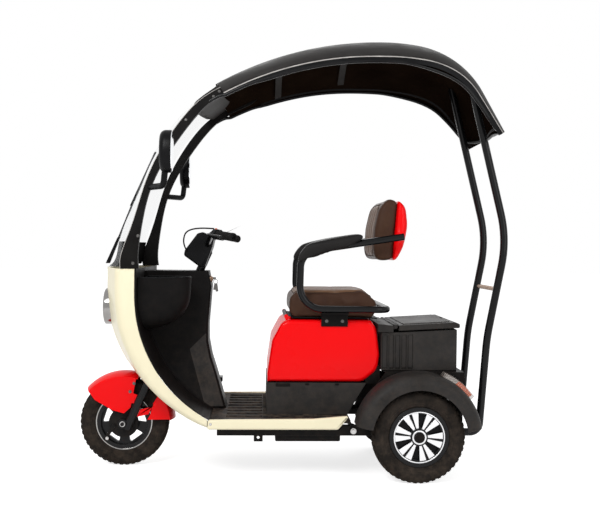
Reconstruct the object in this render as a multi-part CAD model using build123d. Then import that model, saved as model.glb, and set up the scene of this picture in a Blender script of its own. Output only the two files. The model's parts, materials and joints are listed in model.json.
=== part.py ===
from build123d import *
import os
from math import asin, atan2, cos, degrees, hypot, radians, sin, sqrt, tan

# Sizes in millimetres. +X is forward, +Y is the left side, +Z is up and the origin lies on the
# ground under the middle of the overall box.

# Overall layout
LENGTH = 1764
FIT = 0.3
RUN = 0.06
TYRE_R = 185
TYRE_HALF = 39
WHEELBASE = 1192
REAR_TRACK = 600
FRONT_X = LENGTH / 2 - TYRE_R
REAR_X = FRONT_X - WHEELBASE
AXLE_Z = TYRE_R
REAR_Y = REAR_TRACK / 2

# Wheels
BEAD_R = 106
FLANGE_R = 118
FLANGE_T = 4
RIM_HALF = 34
AXLE_FRONT_R = 8
AXLE_REAR_R = 12
HUB_R = 34

# Steering
RAKE = 24
TRAIL_OFFSET = 25
STEM_R = 17
HEAD_R = 26
LEG_R = 17
LEG_Y = 70
CROWN_Z = 385
HEAD_LOW_Z = 500
HEAD_HIGH_Z = 690
STEM_TOP_Z = 905
BAR_R = 11
GRIP_R = 17
GRIP_LENGTH = 120

# Front shield
SHIELD_TOP = 835
SHIELD_X = 617
SHIELD_BEND_Z = 735
SHIELD_BEND_R = 548.4
SHIELD_DEPTH = 162
SHIELD_SIDE = 72
SKIN = 4
PANEL_T = 6
PANEL_GAP = 1
COLUMN_HALF = 75
LAMP_R = 77
LAMP_Z = 668

# Floor and frame
DECK_TOP = 250
DECK_T = 14
DECK_HALF = 317
DECK_REAR = -226
DECK_FRONT = 326
SILL_T = 20
SHIELD_HALF = DECK_HALF + SILL_T + 1
SILL_LOW = 214
SILL_TOP = 257
SILL_FRONT = 333
RAIL_Y = 227
RAIL_T = 30
RAIL_LOW = 172
RAIL_TOP = 212
TRAY_LOW = 141
TRAY_TOP = 188
LUG_X = 135
LUG_Z = 162
LUG_BORE_R = 6
PIVOT_X = -245
PIVOT_Z = 192
PIVOT_R = 8

# Seat, trunk and backrest
SEAT_BOX_HALF = 200
SKIRT_HALF = SEAT_BOX_HALF + 13
SEAT_BOX_LOW = 380
BOX_ROUND = 18
SEAT_BOX_TOP = 632
SEAT_HALF = SEAT_BOX_HALF - 2
SEAT_HINGE_X = 26
SEAT_HINGE_Z = 642
PAN_LOW = 637
PAN_T = 5
ARM_R = 14
ARM_GAP = 28
ARM_Y = SEAT_BOX_HALF + ARM_GAP + ARM_R
BACK_HALF = SEAT_BOX_HALF - 10
TRUNK_HALF = 205
TRUNK_FRONT = -359
TRUNK_REAR = -668
TRUNK_LOW = 430
TRUNK_WALL = 5
LID_HALF = 214
LID_HINGE_X = -418
LID_HINGE_Z = 606
HINGE_R = 4
BARREL_R = 9

# Rear fenders
FENDER_R = 252
FENDER_LIP_R = 188
FENDER_IN_Y = 250
FENDER_OUT_Y = 366
BODY_WALL = 6

# Rear posts
POST_R = 15.5
POST_Y = 165
POST_FOOT_X = -700

PARTS = {}


def axis_x(z):
    """X of the steering axis at height z."""
    return FRONT_X - TRAIL_OFFSET - (z - AXLE_Z) * tan(radians(RAKE))


def shield_x(z):
    """X of the rear edge of the front shield at height z."""
    if z >= SHIELD_BEND_Z:
        return SHIELD_X
    turn = asin((SHIELD_BEND_Z - z) / SHIELD_BEND_R)
    return SHIELD_X - SHIELD_BEND_R * (1 - cos(turn))


def steer_plane(z):
    """Plane square to the steering axis where the axis is at height z."""
    up = (-sin(radians(RAKE)), 0, cos(radians(RAKE)))
    return Plane(origin=(axis_x(z), 0, z), x_dir=(0, 1, 0), z_dir=up)


def steer_rod(low_z, high_z, radius):
    """Round rod along the steering axis."""
    long = (high_z - low_z) / cos(radians(RAKE))
    return extrude(steer_plane(low_z) * Circle(radius), long)


def outline(points, radius=0):
    """Closed face of (x, z) points, corners rounded by one radius or by a list."""
    if radius == 0:
        return make_face(Polyline(*points, close=True))
    return make_face(FilletPolyline(*points, radius=radius, close=True))


def ringed(*lines):
    """Face inside a closed ring of lines and arcs."""
    return make_face([edge for line in lines for edge in line.edges()])


def across(face, low_y, high_y):
    """Side view face carried from low_y to high_y."""
    return extrude(Plane.XZ.offset(-high_y) * face, high_y - low_y)


def block(low, high):
    """Box between two corners."""
    size = [b - a for a, b in zip(low, high)]
    middle = [(a + b) / 2 for a, b in zip(low, high)]
    return Pos(*middle) * Box(*size)


def disc(x, z, radius, low_y, high_y):
    """Round piece with its axis across the vehicle."""
    return across(Pos(x, z) * Circle(radius), low_y, high_y)


def bent_path(points, bends):
    """Straight runs joined by arcs, one bend radius for each inner point."""
    knots = [Vector(*point) for point in points]
    edges = []
    start = knots[0]
    for index, bend in enumerate(bends):
        corner = knots[index + 1]
        back = (knots[index] - corner).normalized()
        on = (knots[index + 2] - corner).normalized()
        half = radians(back.get_angle(on)) / 2
        reach = bend / tan(half)
        centre = corner + (back + on).normalized() * (bend / sin(half))
        middle = centre + (corner - centre).normalized() * bend
        edges.append(Edge.make_line(start, corner + back * reach))
        edges.append(Edge.make_three_point_arc(corner + back * reach, middle, corner + on * reach))
        start = corner + on * reach
    edges.append(Edge.make_line(start, knots[-1]))
    return Wire(edges)


def tube(points, bends, radius):
    """Round bar along a path of straight runs and bends."""
    path = bent_path(points, bends)
    start = Plane(origin=path @ 0, z_dir=path % 0)
    return sweep(start * Circle(radius), path=path)


def round_about(face, x, z, first, last):
    """Face of (radius, y) turned about the cross axis at x, z from one angle to another."""
    centre = Axis((x, 0, z), (0, -1, 0))
    start = (Pos(x, 0, z) * face).rotate(centre, first)
    return revolve(start, centre, last - first)


def both_sides(shape):
    """The piece and its mirror image on the other side."""
    return [shape, mirror(shape, about=Plane.XZ)]


def keep(name, *shapes):
    """Hold the solids of one node."""
    solids = [solid for shape in shapes for solid in shape.solids()]
    PARTS[name] = Compound(children=solids) if len(solids) > 1 else solids[0]


# Tyres and rims
tyre_half = [
    (BEAD_R + FIT, RIM_HALF - FLANGE_T - FIT),
    (FLANGE_R + 1, RIM_HALF - FLANGE_T - FIT),
    (FLANGE_R + 6, RIM_HALF),
    (FLANGE_R + 28, TYRE_HALF),
    (TYRE_R - 20, TYRE_HALF),
    (TYRE_R, TYRE_HALF - 22),
]
tyre_ring = tyre_half + [(r, -y) for r, y in reversed(tyre_half)]
tyre_bends = [0, 0, 6, 14, 14, 16, 16, 14, 14, 6, 0, 0]
tyre = round_about(outline(tyre_ring, tyre_bends), 0, 0, 0, 360)
rim_half = [
    (BEAD_R - 9, RIM_HALF),
    (FLANGE_R, RIM_HALF),
    (FLANGE_R, RIM_HALF - FLANGE_T),
    (BEAD_R, RIM_HALF - FLANGE_T),
]
rim_ring = rim_half + [(r, -y) for r, y in reversed(rim_half)]
barrel = round_about(outline(rim_ring), 0, 0, 0, 360)


def spoked_rim(count, first, window_half, web_low, web_high, hub_low, hub_high, bore):
    """Rim with a web between count windows, from the first one's angle on, and a bored hub."""
    web = disc(0, 0, BEAD_R - 8, web_low, web_high)
    step = 360 / count
    low_r = HUB_R + 6
    high_r = BEAD_R - 14
    for index in range(count):
        turn = radians(first + step * index)
        half = radians(window_half)
        corners = []
        for radius, side in ((low_r, -0.7), (high_r, -1), (high_r, 1), (low_r, 0.7)):
            corners.append((radius * cos(turn + side * half), radius * sin(turn + side * half)))
        web -= across(outline(corners, 5), web_low - 1, web_high + 1)
    hub = disc(0, 0, HUB_R, hub_low, hub_high)
    return barrel + web + hub - disc(0, 0, bore, hub_low - 5, hub_high + 5)


front_rim = spoked_rim(5, 90, 21, 0, 18, -40, 36, AXLE_FRONT_R + RUN)
keep("front_tyre", Pos(FRONT_X, 0, AXLE_Z) * tyre)
keep("front_rim", Pos(FRONT_X, 0, AXLE_Z) * front_rim)
rear_rim = spoked_rim(6, 38, 13, 16, 26, -38, 34, AXLE_REAR_R + RUN) + disc(0, 0, 21, 34, 42)
for side, flip in (("left", 1), ("right", -1)):
    place = Pos(REAR_X, flip * REAR_Y, AXLE_Z)
    turned = rear_rim if flip > 0 else mirror(rear_rim, about=Plane.XZ)
    keep(f"rear_tyre_{side}", place * tyre)
    keep(f"rear_rim_{side}", place * turned)

# Fork, axle and crown
leg_low = AXLE_Z - 22
leg = steer_rod(leg_low, CROWN_Z + 12, LEG_R)
crown = extrude(steer_plane(CROWN_Z) * RectangleRounded(2 * LEG_Y + 40, 46, 12), 14, both=True)
fork = crown + steer_rod(CROWN_Z, STEM_TOP_Z, STEM_R)
for flip in (1, -1):
    fork += Pos(0, flip * LEG_Y, 0) * leg
    end = sorted((flip * (LEG_Y - 12), flip * (LEG_Y + 12)))
    fork += disc(FRONT_X, AXLE_Z, 19, *end)
fork += disc(FRONT_X, AXLE_Z, AXLE_FRONT_R, -LEG_Y - 24, LEG_Y + 24)
keep("fork", fork)
plate_bore = disc(FRONT_X, AXLE_Z, AXLE_FRONT_R + FIT, 30, 70)
brake_plate = disc(FRONT_X, AXLE_Z, 62, 42, 49) - plate_bore
brake_arm = outline([(FRONT_X + 30, 172), (FRONT_X + 72, 112), (FRONT_X + 82, 118), (FRONT_X + 42, 182)], 4)
keep("front_brake_plate", brake_plate + across(brake_arm, 46, 54))

# Front fender, one piece before the fork and one behind it
GUARD_GAP = 27
GUARD_R = TYRE_R + GUARD_GAP
GUARD_HALF = 72
GUARD_T = 4
guard_skin = ringed(
    ThreePointArc((GUARD_R - 16, -GUARD_HALF), (GUARD_R, 0), (GUARD_R - 16, GUARD_HALF)),
    Line((GUARD_R - 16, GUARD_HALF), (GUARD_R - 20, GUARD_HALF)),
    ThreePointArc((GUARD_R - 20, GUARD_HALF), (GUARD_R - 4, 0), (GUARD_R - 20, -GUARD_HALF)),
    Line((GUARD_R - 20, -GUARD_HALF), (GUARD_R - 16, -GUARD_HALF)),
)
guard_front = round_about(guard_skin, FRONT_X, AXLE_Z, 43, 108)
guard_rear = round_about(guard_skin, FRONT_X, AXLE_Z, 138, 176)


def at_wheel(radius, angle):
    """Point at a radius and angle about the front axle."""
    return (FRONT_X + radius * cos(radians(angle)), AXLE_Z + radius * sin(radians(angle)))


front_flap = outline([
    at_wheel(GUARD_R - 17, 43),
    at_wheel(GUARD_R - 60, 40),
    at_wheel(70, 52),
    at_wheel(42, 95),
    at_wheel(74, 115),
    at_wheel(GUARD_R - 17, 106),
    at_wheel(GUARD_R - 17, 96),
    at_wheel(GUARD_R - 17, 86),
    at_wheel(GUARD_R - 17, 76),
    at_wheel(GUARD_R - 17, 66),
    at_wheel(GUARD_R - 17, 54),
])
rear_flap = outline([
    at_wheel(GUARD_R - 17, 175),
    at_wheel(GUARD_R - 17, 166),
    at_wheel(GUARD_R - 17, 156),
    at_wheel(GUARD_R - 17, 146),
    at_wheel(GUARD_R - 17, 140),
    at_wheel(150, 146),
    at_wheel(118, 162),
    at_wheel(102, 171),
])
front_tongue = outline([at_wheel(100, 80), at_wheel(100, 128), at_wheel(140, 128), at_wheel(140, 90)])
rear_tongue = outline([at_wheel(112, 160), at_wheel(140, 150), at_wheel(66, 128), at_wheel(50, 150)])
leg_room = steer_rod(leg_low, CROWN_Z, LEG_R + FIT)
for flip in (1, -1):
    span = sorted((flip * (GUARD_HALF - GUARD_T), flip * GUARD_HALF))
    guard_front += across(front_flap, *span) + across(front_tongue, *span)
    guard_rear += across(rear_flap, *span) + across(rear_tongue, *span)
    guard_front -= Pos(0, flip * LEG_Y, 0) * leg_room
    guard_rear -= Pos(0, flip * LEG_Y, 0) * leg_room
guard_front = guard_front.solids().sort_by(SortBy.VOLUME)[-1]
guard_rear = guard_rear.solids().sort_by(SortBy.VOLUME)[-1]
keep("front_fender", guard_front, guard_rear)

# Handlebar
BAR_POINTS = [(238, 330, 960), (330, 182, 976), (352, 80, 935)]
bar_path = BAR_POINTS + [(x, -y, z) for x, y, z in reversed(BAR_POINTS)]
bar = tube(bar_path, [45, 40, 40, 45], BAR_R)
bar_room = tube(bar_path, [45, 40, 40, 45], BAR_R + FIT)
keep("handlebar", bar - steer_rod(800, STEM_TOP_Z, STEM_R + FIT))
cover = across(outline([
    (364, 838), (388, 840), (452, 886), (448, 908), (396, 978), (374, 984), (326, 962), (334, 922),
], [8, 10, 12, 14, 12, 10, 14, 14]), -72, 72)
cover = fillet(cover.faces().filter_by(Axis.Y).edges(), 8)
cover_body = cover
cover -= bar_room
cover -= steer_rod(780, STEM_TOP_Z + 3, STEM_R + FIT)
keep("handlebar_cover", cover)
grip_run = Vector(*BAR_POINTS[0]) - Vector(*BAR_POINTS[1])
grip_dir = grip_run.normalized()
grip_plane = Plane(origin=Vector(*BAR_POINTS[0]) - grip_dir * GRIP_LENGTH, z_dir=grip_dir)
grip = extrude(grip_plane * (Circle(GRIP_R) - Circle(BAR_R + FIT)), GRIP_LENGTH)
keep("handlebar_grips", *both_sides(grip))
pod_plane = Plane(origin=Vector(*BAR_POINTS[0]) - grip_dir * (GRIP_LENGTH + 30), z_dir=grip_dir)
pod = extrude(pod_plane * (Circle(21) - Circle(BAR_R + FIT)), 28)
keep("switch_pods", *both_sides(pod))
fore = Vector(-grip_dir.Y, grip_dir.X, 0).normalized() * -1
pod_middle = Vector(*BAR_POINTS[0]) - grip_dir * (GRIP_LENGTH + 14)
lever_knots = [
    pod_middle + fore * (21 + FIT), pod_middle + fore * 44,
    Vector(*BAR_POINTS[0]) - grip_dir * 8 + fore * 50,
]
lever = tube([tuple(knot) for knot in lever_knots], [14], 5)
keep("brake_levers", *both_sides(lever))
cable_knots = [
    tuple(pod_middle - grip_dir * 6 + Vector(8, 0, 22)), (425, 180, 1004), (456, 120, 940),
    (424, 40, 878), (392, 40, 872),
]
pod_room = extrude(pod_plane * Circle(21 + FIT), 28)
keep("brake_cable", tube(cable_knots, [26, 40, 22], 3) - cover_body - pod_room)

# Front shield shell
plan_out = [
    (0, SHIELD_HALF), (SHIELD_SIDE, SHIELD_HALF), (SHIELD_DEPTH, 0), (SHIELD_SIDE, -SHIELD_HALF),
    (0, -SHIELD_HALF),
]
plan_in = [
    (0, SHIELD_HALF - SKIN), (SHIELD_SIDE - SKIN, SHIELD_HALF - SKIN), (SHIELD_DEPTH - SKIN, 0),
    (SHIELD_SIDE - SKIN, SKIN - SHIELD_HALF), (0, SKIN - SHIELD_HALF),
]
shield_plan = make_face(FilletPolyline(*plan_out, *reversed(plan_in), close=True,
                                       radius=[0, 44, 120, 44, 0, 0, 40, 116, 40, 0]))
shield_levels = [SHIELD_TOP, 790, SHIELD_BEND_Z, 660, 560, 450, 350, 270, SILL_LOW]
shield = loft([Pos(shield_x(z), 0, z) * shield_plan for z in shield_levels])
ARCH_HALF = 205
ARCH_TOP = 448
arch = ringed(
    Polyline((-ARCH_HALF, 330), (-ARCH_HALF, 100), (ARCH_HALF, 100), (ARCH_HALF, 330)),
    ThreePointArc((ARCH_HALF, 330), (0, ARCH_TOP), (-ARCH_HALF, 330)),
)
shield -= extrude(Plane.YZ * arch, 1100)
shield -= block((0, -400, 100), (SILL_FRONT + FIT, 400, 400))
shield -= extrude(Plane.YZ.offset(600) * (Pos(0, LAMP_Z) * Circle(LAMP_R + FIT)), 300)
keep("front_shield", shield)
lamp_face = shield_x(LAMP_Z) + SHIELD_DEPTH
bezel = extrude(Plane.YZ.offset(lamp_face - 50) * (Pos(0, LAMP_Z) * Circle(LAMP_R)), 58)
bezel -= extrude(Plane.YZ.offset(lamp_face - 44) * (Pos(0, LAMP_Z) * Circle(LAMP_R - 12)), 60)
keep("headlight_bezel", bezel)
lens_plane = Plane.YZ.offset(lamp_face - 20)
lens = extrude(lens_plane * (Pos(0, LAMP_Z) * Circle(LAMP_R - 12 - FIT)), 22)
keep("headlight_lens", lens)

# Inner leg shield with the steering column cover
def shield_line(shift, low_z, high_z):
    """Edge of the front shield in side view, moved along X."""
    bend = SHIELD_BEND_Z
    mid = (low_z + bend) / 2
    return [
        Line((SHIELD_X + shift, high_z), (SHIELD_X + shift, bend)),
        ThreePointArc((SHIELD_X + shift, bend), (shield_x(mid) + shift, mid),
                      (shield_x(low_z) + shift, low_z)),
    ]


def shield_zone(back, front, low_z, high_z):
    """Face between two copies of the shield edge."""
    ends = [(shield_x(z) + back, z) for z in (low_z, high_z)]
    fore = [(shield_x(z) + front, z) for z in (low_z, high_z)]
    return ringed(*shield_line(back, low_z, high_z), *shield_line(front, low_z, high_z),
                  Line(ends[0], fore[0]), Line(ends[1], fore[1]))


PANEL_LOW = SILL_TOP - 3
COLUMN_TOP = 822
panel_zone = shield_zone(-PANEL_GAP - PANEL_T, -PANEL_GAP, PANEL_LOW, SHIELD_TOP)
panel = across(panel_zone, -SHIELD_HALF, SHIELD_HALF)
ahead = across(shield_zone(-PANEL_GAP - PANEL_T, 500, SILL_LOW, 900), -500, 500)
column_rear = [
    (349, COLUMN_TOP), (336, 760), (341, 690), (348, 600), (347, 530), (334, 465), (312, 398),
    (270, DECK_TOP + FIT),
]
column_side = column_rear + [(420, DECK_TOP + FIT), (640, 520), (640, COLUMN_TOP)]
column = across(outline(column_side), -COLUMN_HALF, COLUMN_HALF)
column = fillet(column.edges().filter_by(lambda e: e.center().X < 352 and abs(e.center().Y) > 70), 14)
inner_rear = [(x + 5, z) for x, z in column_rear[1:-1]]
hollow_side = [(352, COLUMN_TOP - 5)] + inner_rear
hollow_side += [(277, 200), (420, 200), (640, 520), (640, COLUMN_TOP - 5)]
hollow = across(outline(hollow_side), 5 - COLUMN_HALF, COLUMN_HALF - 5)
leg_shield = panel + (column - ahead) - hollow - steer_rod(760, 900, STEM_R + 8)
keep("leg_shield", leg_shield)
POCKET_Y = 188
POCKET_WALL = 4
pocket_table = [
    # z, reach behind the shield line, half width
    (588, 70, 34),
    (602, 140, 66),
    (645, 212, 96),
    (715, 246, 109),
    (800, 252, 112),
]


def pocket_shape(wall, lift):
    """Bowl through the rows of the pocket table, drawn in by a wall and lifted at its foot."""
    faces = []
    for index, (z, reach, half) in enumerate(pocket_table):
        rise = lift if index < len(pocket_table) - 1 else 0.1 * lift
        faces.append(Pos(SHIELD_X + 43, POCKET_Y, z + rise) * Ellipse(reach - wall, half - wall))
    return loft(faces)


pocket = pocket_shape(0, 0) - pocket_shape(POCKET_WALL, POCKET_WALL)
pocket -= across(shield_zone(-PANEL_GAP - FIT - PANEL_T, 500, SILL_LOW, 900), -500, 500)
keep("storage_pockets", *both_sides(pocket))

pedal = block((318, -112, 340), (470, -98, 352)) + block((292, -136, 338), (322, -76, 358))
pedal -= across(shield_zone(-PANEL_GAP - FIT - PANEL_T, 500, SILL_LOW, 900), -500, 500)
keep("brake_pedal", pedal)

# Deck and sills
deck_plan = [
    (DECK_REAR, DECK_HALF), (DECK_FRONT - 14, DECK_HALF), (DECK_FRONT, DECK_HALF - 18),
    (DECK_FRONT, 18 - DECK_HALF), (DECK_FRONT - 14, -DECK_HALF), (DECK_REAR, -DECK_HALF),
]
deck = extrude(Pos(0, 0, DECK_TOP - DECK_T) * make_face(Polyline(*deck_plan, close=True)), DECK_T)
RIB_COUNT = 9
for index in range(RIB_COUNT):
    rib_y = (index - (RIB_COUNT - 1) / 2) * 62
    deck += block((120, rib_y - 8, DECK_TOP - 1), (262, rib_y + 8, DECK_TOP + 5))
deck -= block((280, -45, 200), (400, 45, 300))
keep("floor_deck", deck)
sill_side = outline([
    (SILL_FRONT, SILL_LOW), (SILL_FRONT, SILL_TOP - 4), (-80, SILL_TOP), (DECK_REAR + 4, 269),
    (-176, SILL_LOW),
], [0, 0, 0, 6, 14])
sill = across(sill_side, DECK_HALF + FIT, DECK_HALF + FIT + SILL_T)
keep("side_sills", *both_sides(sill))

# Main frame
rail_side = outline([
    (300, RAIL_LOW), (300, RAIL_TOP), (-300, RAIL_TOP), (-372, 352), (-690, 352), (-690, 322),
    (-395, 322), (-335, RAIL_LOW),
])
frame_bar = across(rail_side, RAIL_Y - RAIL_T / 2, RAIL_Y + RAIL_T / 2)
frame_bar += block((LUG_X - 18, RAIL_Y - 4, 146), (LUG_X + 18, RAIL_Y + 4, RAIL_LOW + 2))
frame_bar -= disc(LUG_X, LUG_Z, LUG_BORE_R, 200, 260)
frame_bar += disc(PIVOT_X, PIVOT_Z, 15, RAIL_Y + RAIL_T / 2 - 1, RAIL_Y + RAIL_T / 2 + 7)
for pad_x in (200, 20, -150):
    frame_bar += block((pad_x - 20, RAIL_Y - 15, RAIL_TOP - 1),
                       (pad_x + 20, RAIL_Y + 15, DECK_TOP - DECK_T))
frame_bar += block((-620, RAIL_Y - 15, 351), (-560, RAIL_Y + 15, TRUNK_LOW - BODY_WALL))
keep("frame_rails", *both_sides(frame_bar))
beam_half = RAIL_Y - RAIL_T / 2 - FIT
beam_table = [
    # x low, x high, z low, z high
    (268, 300, RAIL_LOW, RAIL_TOP),
    (5, 35, TRAY_TOP, RAIL_TOP),
    (-165, -135, TRAY_TOP, RAIL_TOP),
    (-690, -660, 322, 352),
    (-420, -390, 322, 352),
]
beams = []
for low_x, high_x, low_z, high_z in beam_table:
    beams.append(block((low_x, -beam_half, low_z), (high_x, beam_half, high_z)))
for flip in (1, -1):
    beams[3] += block((POST_FOOT_X, flip * POST_Y - 20, 150), (-688, flip * POST_Y + 20, 352))
keep("frame_beams", *beams, disc(PIVOT_X, PIVOT_Z, PIVOT_R, -beam_half, beam_half))
head = tube([(284, 0, 192), (axis_x(560), 0, 560)], [], 20)
head -= block((200, -40, 100), (300 + FIT, 40, RAIL_TOP + FIT))
head += steer_rod(HEAD_LOW_Z, HEAD_HIGH_Z, HEAD_R)
head -= steer_rod(HEAD_LOW_Z - 40, HEAD_HIGH_Z + 40, STEM_R + RUN)
keep("head_tube", head)
tray = block((-196, -205, TRAY_LOW), (67, 205, TRAY_TOP))
keep("underfloor_box", fillet(tray.edges().filter_by(Axis.Y), 6))

# Rear axle with motor, arms and dampers
axle = disc(REAR_X, AXLE_Z, 28, -215, 215)
axle += disc(REAR_X, AXLE_Z, 78, -80, 60)
axle += disc(REAR_X, AXLE_Z, AXLE_REAR_R, -REAR_Y - 33, REAR_Y + 33)
for flip in (1, -1):
    arm_y = sorted((flip * 180, flip * 204))
    drum_y = sorted((flip * 214, flip * 240))
    axle += across(outline([(PIVOT_X, PIVOT_Z - 10), (PIVOT_X, PIVOT_Z + 10), (REAR_X, AXLE_Z + 16),
                            (REAR_X, AXLE_Z - 16)]), *arm_y)
    axle += disc(PIVOT_X, PIVOT_Z, 18, *arm_y)
    axle += disc(REAR_X, AXLE_Z, 66, *drum_y)
axle -= disc(PIVOT_X, PIVOT_Z, PIVOT_R + FIT, -300, 300)
keep("rear_axle", axle)
damper_low = AXLE_Z + 28 + FIT
damper = Pos(REAR_X, 120, damper_low) * Cylinder(22, 322 - damper_low - 10,
                                                 align=(Align.CENTER, Align.CENTER, Align.MIN))
keep("rear_dampers", *both_sides(damper))

# Rear body plate with wheel house walls
body = block((-690, -FENDER_IN_Y, TRUNK_LOW - BODY_WALL), (-372, FENDER_IN_Y, TRUNK_LOW))
wall_side = outline([(-250, 262), (-372, TRUNK_LOW), (-690, TRUNK_LOW), (-705, 262), (-660, 262),
                     (-600, 370), (-390, 370), (-330, 262)])
for flip in (1, -1):
    wall_y = sorted((flip * (FENDER_IN_Y - BODY_WALL), flip * FENDER_IN_Y))
    body += across(wall_side, *wall_y)
keep("rear_body", body)

# Seat skirt, seat box and battery
skirt_side = [(104, DECK_TOP), (104, SEAT_BOX_LOW), (-300, SEAT_BOX_LOW), (-222, DECK_TOP)]
skirt = across(outline(skirt_side), -SKIRT_HALF, SKIRT_HALF)
skirt_room = [
    (99, DECK_TOP - 10), (99, SEAT_BOX_LOW + 10), (-310, SEAT_BOX_LOW + 10), (-214, DECK_TOP - 10),
]
skirt -= across(outline(skirt_room), 5 - SKIRT_HALF, SKIRT_HALF - 5)
keep("seat_skirt", skirt)
box_side = [
    (20, SEAT_BOX_TOP), (46, 618), (83, 548), (101, 420), (101, SEAT_BOX_LOW),
    (-286, SEAT_BOX_LOW), (-346, 429), (-354, 490), (-340, 600), (-316, SEAT_BOX_TOP),
]
box_outline = outline(box_side, [20, 40, 60, 30, 0, 60, 60, 40, 40, 20])
seat_box = across(box_outline, -SEAT_BOX_HALF, SEAT_BOX_HALF)
box_rims = seat_box.faces().filter_by(Axis.Y).edges()
box_edges = box_rims.filter_by(lambda e: e.center().Z > SEAT_BOX_LOW + 1)
seat_box = fillet(box_edges, BOX_ROUND)
box_room = [
    (0, SEAT_BOX_TOP + 9), (34, 600), (76, 546), (95, 418), (95, SEAT_BOX_LOW - 9),
    (-284, SEAT_BOX_LOW - 9), (-340, 432), (-348, 490), (-334, 598), (-300, SEAT_BOX_TOP + 9),
]
seat_box -= across(outline(box_room), BOX_ROUND - 2 - SEAT_BOX_HALF, SEAT_BOX_HALF + 2 - BOX_ROUND)
ear_low = SEAT_BOX_HALF - 48
ear_high = ear_low + 10
seat_ear = disc(SEAT_HINGE_X, SEAT_HINGE_Z, BARREL_R, ear_low, ear_high)
seat_ear += block((SEAT_HINGE_X - 18, ear_low, SEAT_BOX_TOP - 30),
                  (SEAT_HINGE_X + 4, ear_high, SEAT_HINGE_Z))
for ear in both_sides(seat_ear):
    seat_box += ear
seat_box += disc(SEAT_HINGE_X, SEAT_HINGE_Z, HINGE_R, 2 - ear_high, ear_high - 2)
keep("seat_box", seat_box)
battery_half = SEAT_BOX_HALF - 50
keep("battery_block", block((-200, -battery_half, DECK_TOP), (60, battery_half, 560)))
pan_half = SEAT_BOX_HALF - 15
seat_pan = block((-345, -pan_half, PAN_LOW), (SEAT_HINGE_X - 24, pan_half, PAN_LOW + PAN_T))
barrel_half = ear_low - 6
seat_pan += disc(SEAT_HINGE_X, SEAT_HINGE_Z, BARREL_R, -barrel_half, barrel_half)
seat_pan += block((SEAT_HINGE_X - 26, -barrel_half, PAN_LOW), (SEAT_HINGE_X, barrel_half, PAN_LOW + PAN_T))
seat_pan -= disc(SEAT_HINGE_X, SEAT_HINGE_Z, HINGE_R + RUN, -200, 200)
keep("seat_pan", seat_pan)
seat_low = PAN_LOW + PAN_T
seat_side = [
    (10, seat_low), (26, 666), (24, 722), (4, 746), (-300, 748), (-352, 706), (-350, 662), (-336, seat_low),
]
seat = across(outline(seat_side, [6, 12, 16, 16, 24, 16, 12, 6]), -SEAT_HALF, SEAT_HALF)
seat = fillet(seat.faces().filter_by(Axis.Y).edges(), 5)
seat -= disc(SEAT_HINGE_X, SEAT_HINGE_Z, BARREL_R + 6, -220, 220)
keep("seat_cushion", seat)

# Armrests
arm_points = [(-440, ARM_Y, 971), (-28, ARM_Y, 905), (-24, ARM_Y, 678), (-380, ARM_Y, 678), (-380, 0, 678)]
arm_bends = [72, 92, 50]
arm_loop = arm_points[:-1] + [(x, -y, z) for x, y, z in reversed(arm_points[:-1])]
arm_frame = tube(arm_loop, arm_bends + arm_bends[::-1], ARM_R)
keep("armrest_frame", arm_frame)
arm_bracket = block((-222, SEAT_BOX_HALF + FIT, 606), (-114, SEAT_BOX_HALF + 6, 663.5))
arm_bracket += block((-222, SEAT_BOX_HALF + FIT, 658), (-114, ARM_Y + 10, 663.5))
keep("armrest_brackets", *both_sides(arm_bracket))
pad_side = outline([(-20, 868), (-26, 893), (-62, 938), (-141, 958), (-268, 980), (-280, 964),
                    (-220, 928), (-63, 890)], [6, 20, 30, 30, 8, 8, 20, 20])
pad = across(pad_side, ARM_Y - 28, ARM_Y + 28) - tube(arm_points, arm_bends, ARM_R + FIT)
keep("armrest_pads", *both_sides(pad))

# Backrest
back_front = outline([(-404, 868), (-338, 866), (-328, 914), (-335, 1015), (-354, 1096), (-386, 1136),
                      (-424, 1126)], [0, 16, 40, 60, 30, 14, 0])
back_rear = outline([(-404 - FIT, 868), (-425, 878), (-453, 935), (-468, 1016), (-459, 1097),
                     (-424 - FIT, 1126)], [0, 20, 40, 60, 30, 0])
back_pad = across(back_front, -BACK_HALF, BACK_HALF)
pad_edges = back_pad.faces().filter_by(Axis.Y).edges().filter_by(lambda e: e.center().X > -410)
keep("backrest_cushion", fillet(pad_edges, 12))
back_shell = across(back_rear, -BACK_HALF, BACK_HALF)
shell_edges = back_shell.faces().filter_by(Axis.Y).edges().filter_by(lambda e: e.center().X < -416)
back_shell = fillet(shell_edges, 16)
for flip in (1, -1):
    boss_y = sorted((flip * (BACK_HALF - 2), flip * (ARM_Y - ARM_R - FIT)))
    back_shell += disc(-436, 971, 12, *boss_y)
keep("backrest_shell", back_shell)

# Trunk
trunk_side = [
    (TRUNK_FRONT, TRUNK_LOW), (TRUNK_REAR, TRUNK_LOW), (TRUNK_REAR, 597), (-420, 584),
    (TRUNK_FRONT, 584),
]
trunk = across(outline(trunk_side), -TRUNK_HALF, TRUNK_HALF)
trunk_room = [
    (TRUNK_FRONT - TRUNK_WALL, TRUNK_LOW + TRUNK_WALL), (TRUNK_REAR + TRUNK_WALL, TRUNK_LOW + TRUNK_WALL),
    (TRUNK_REAR + TRUNK_WALL, 650), (TRUNK_FRONT - TRUNK_WALL, 650),
]
trunk -= across(outline(trunk_room), TRUNK_WALL - TRUNK_HALF, TRUNK_HALF - TRUNK_WALL)
for index in range(5):
    rib_x = TRUNK_FRONT - 14 - 26 * index
    for flip in (1, -1):
        rib_y = sorted((flip * (TRUNK_HALF - 1), flip * (TRUNK_HALF + 3)))
        trunk += block((rib_x - 9, rib_y[0], TRUNK_LOW + 10), (rib_x + 9, rib_y[1], 574))
keep("trunk_box", trunk)
cover_rear = LID_HINGE_X + BARREL_R + 2
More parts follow.
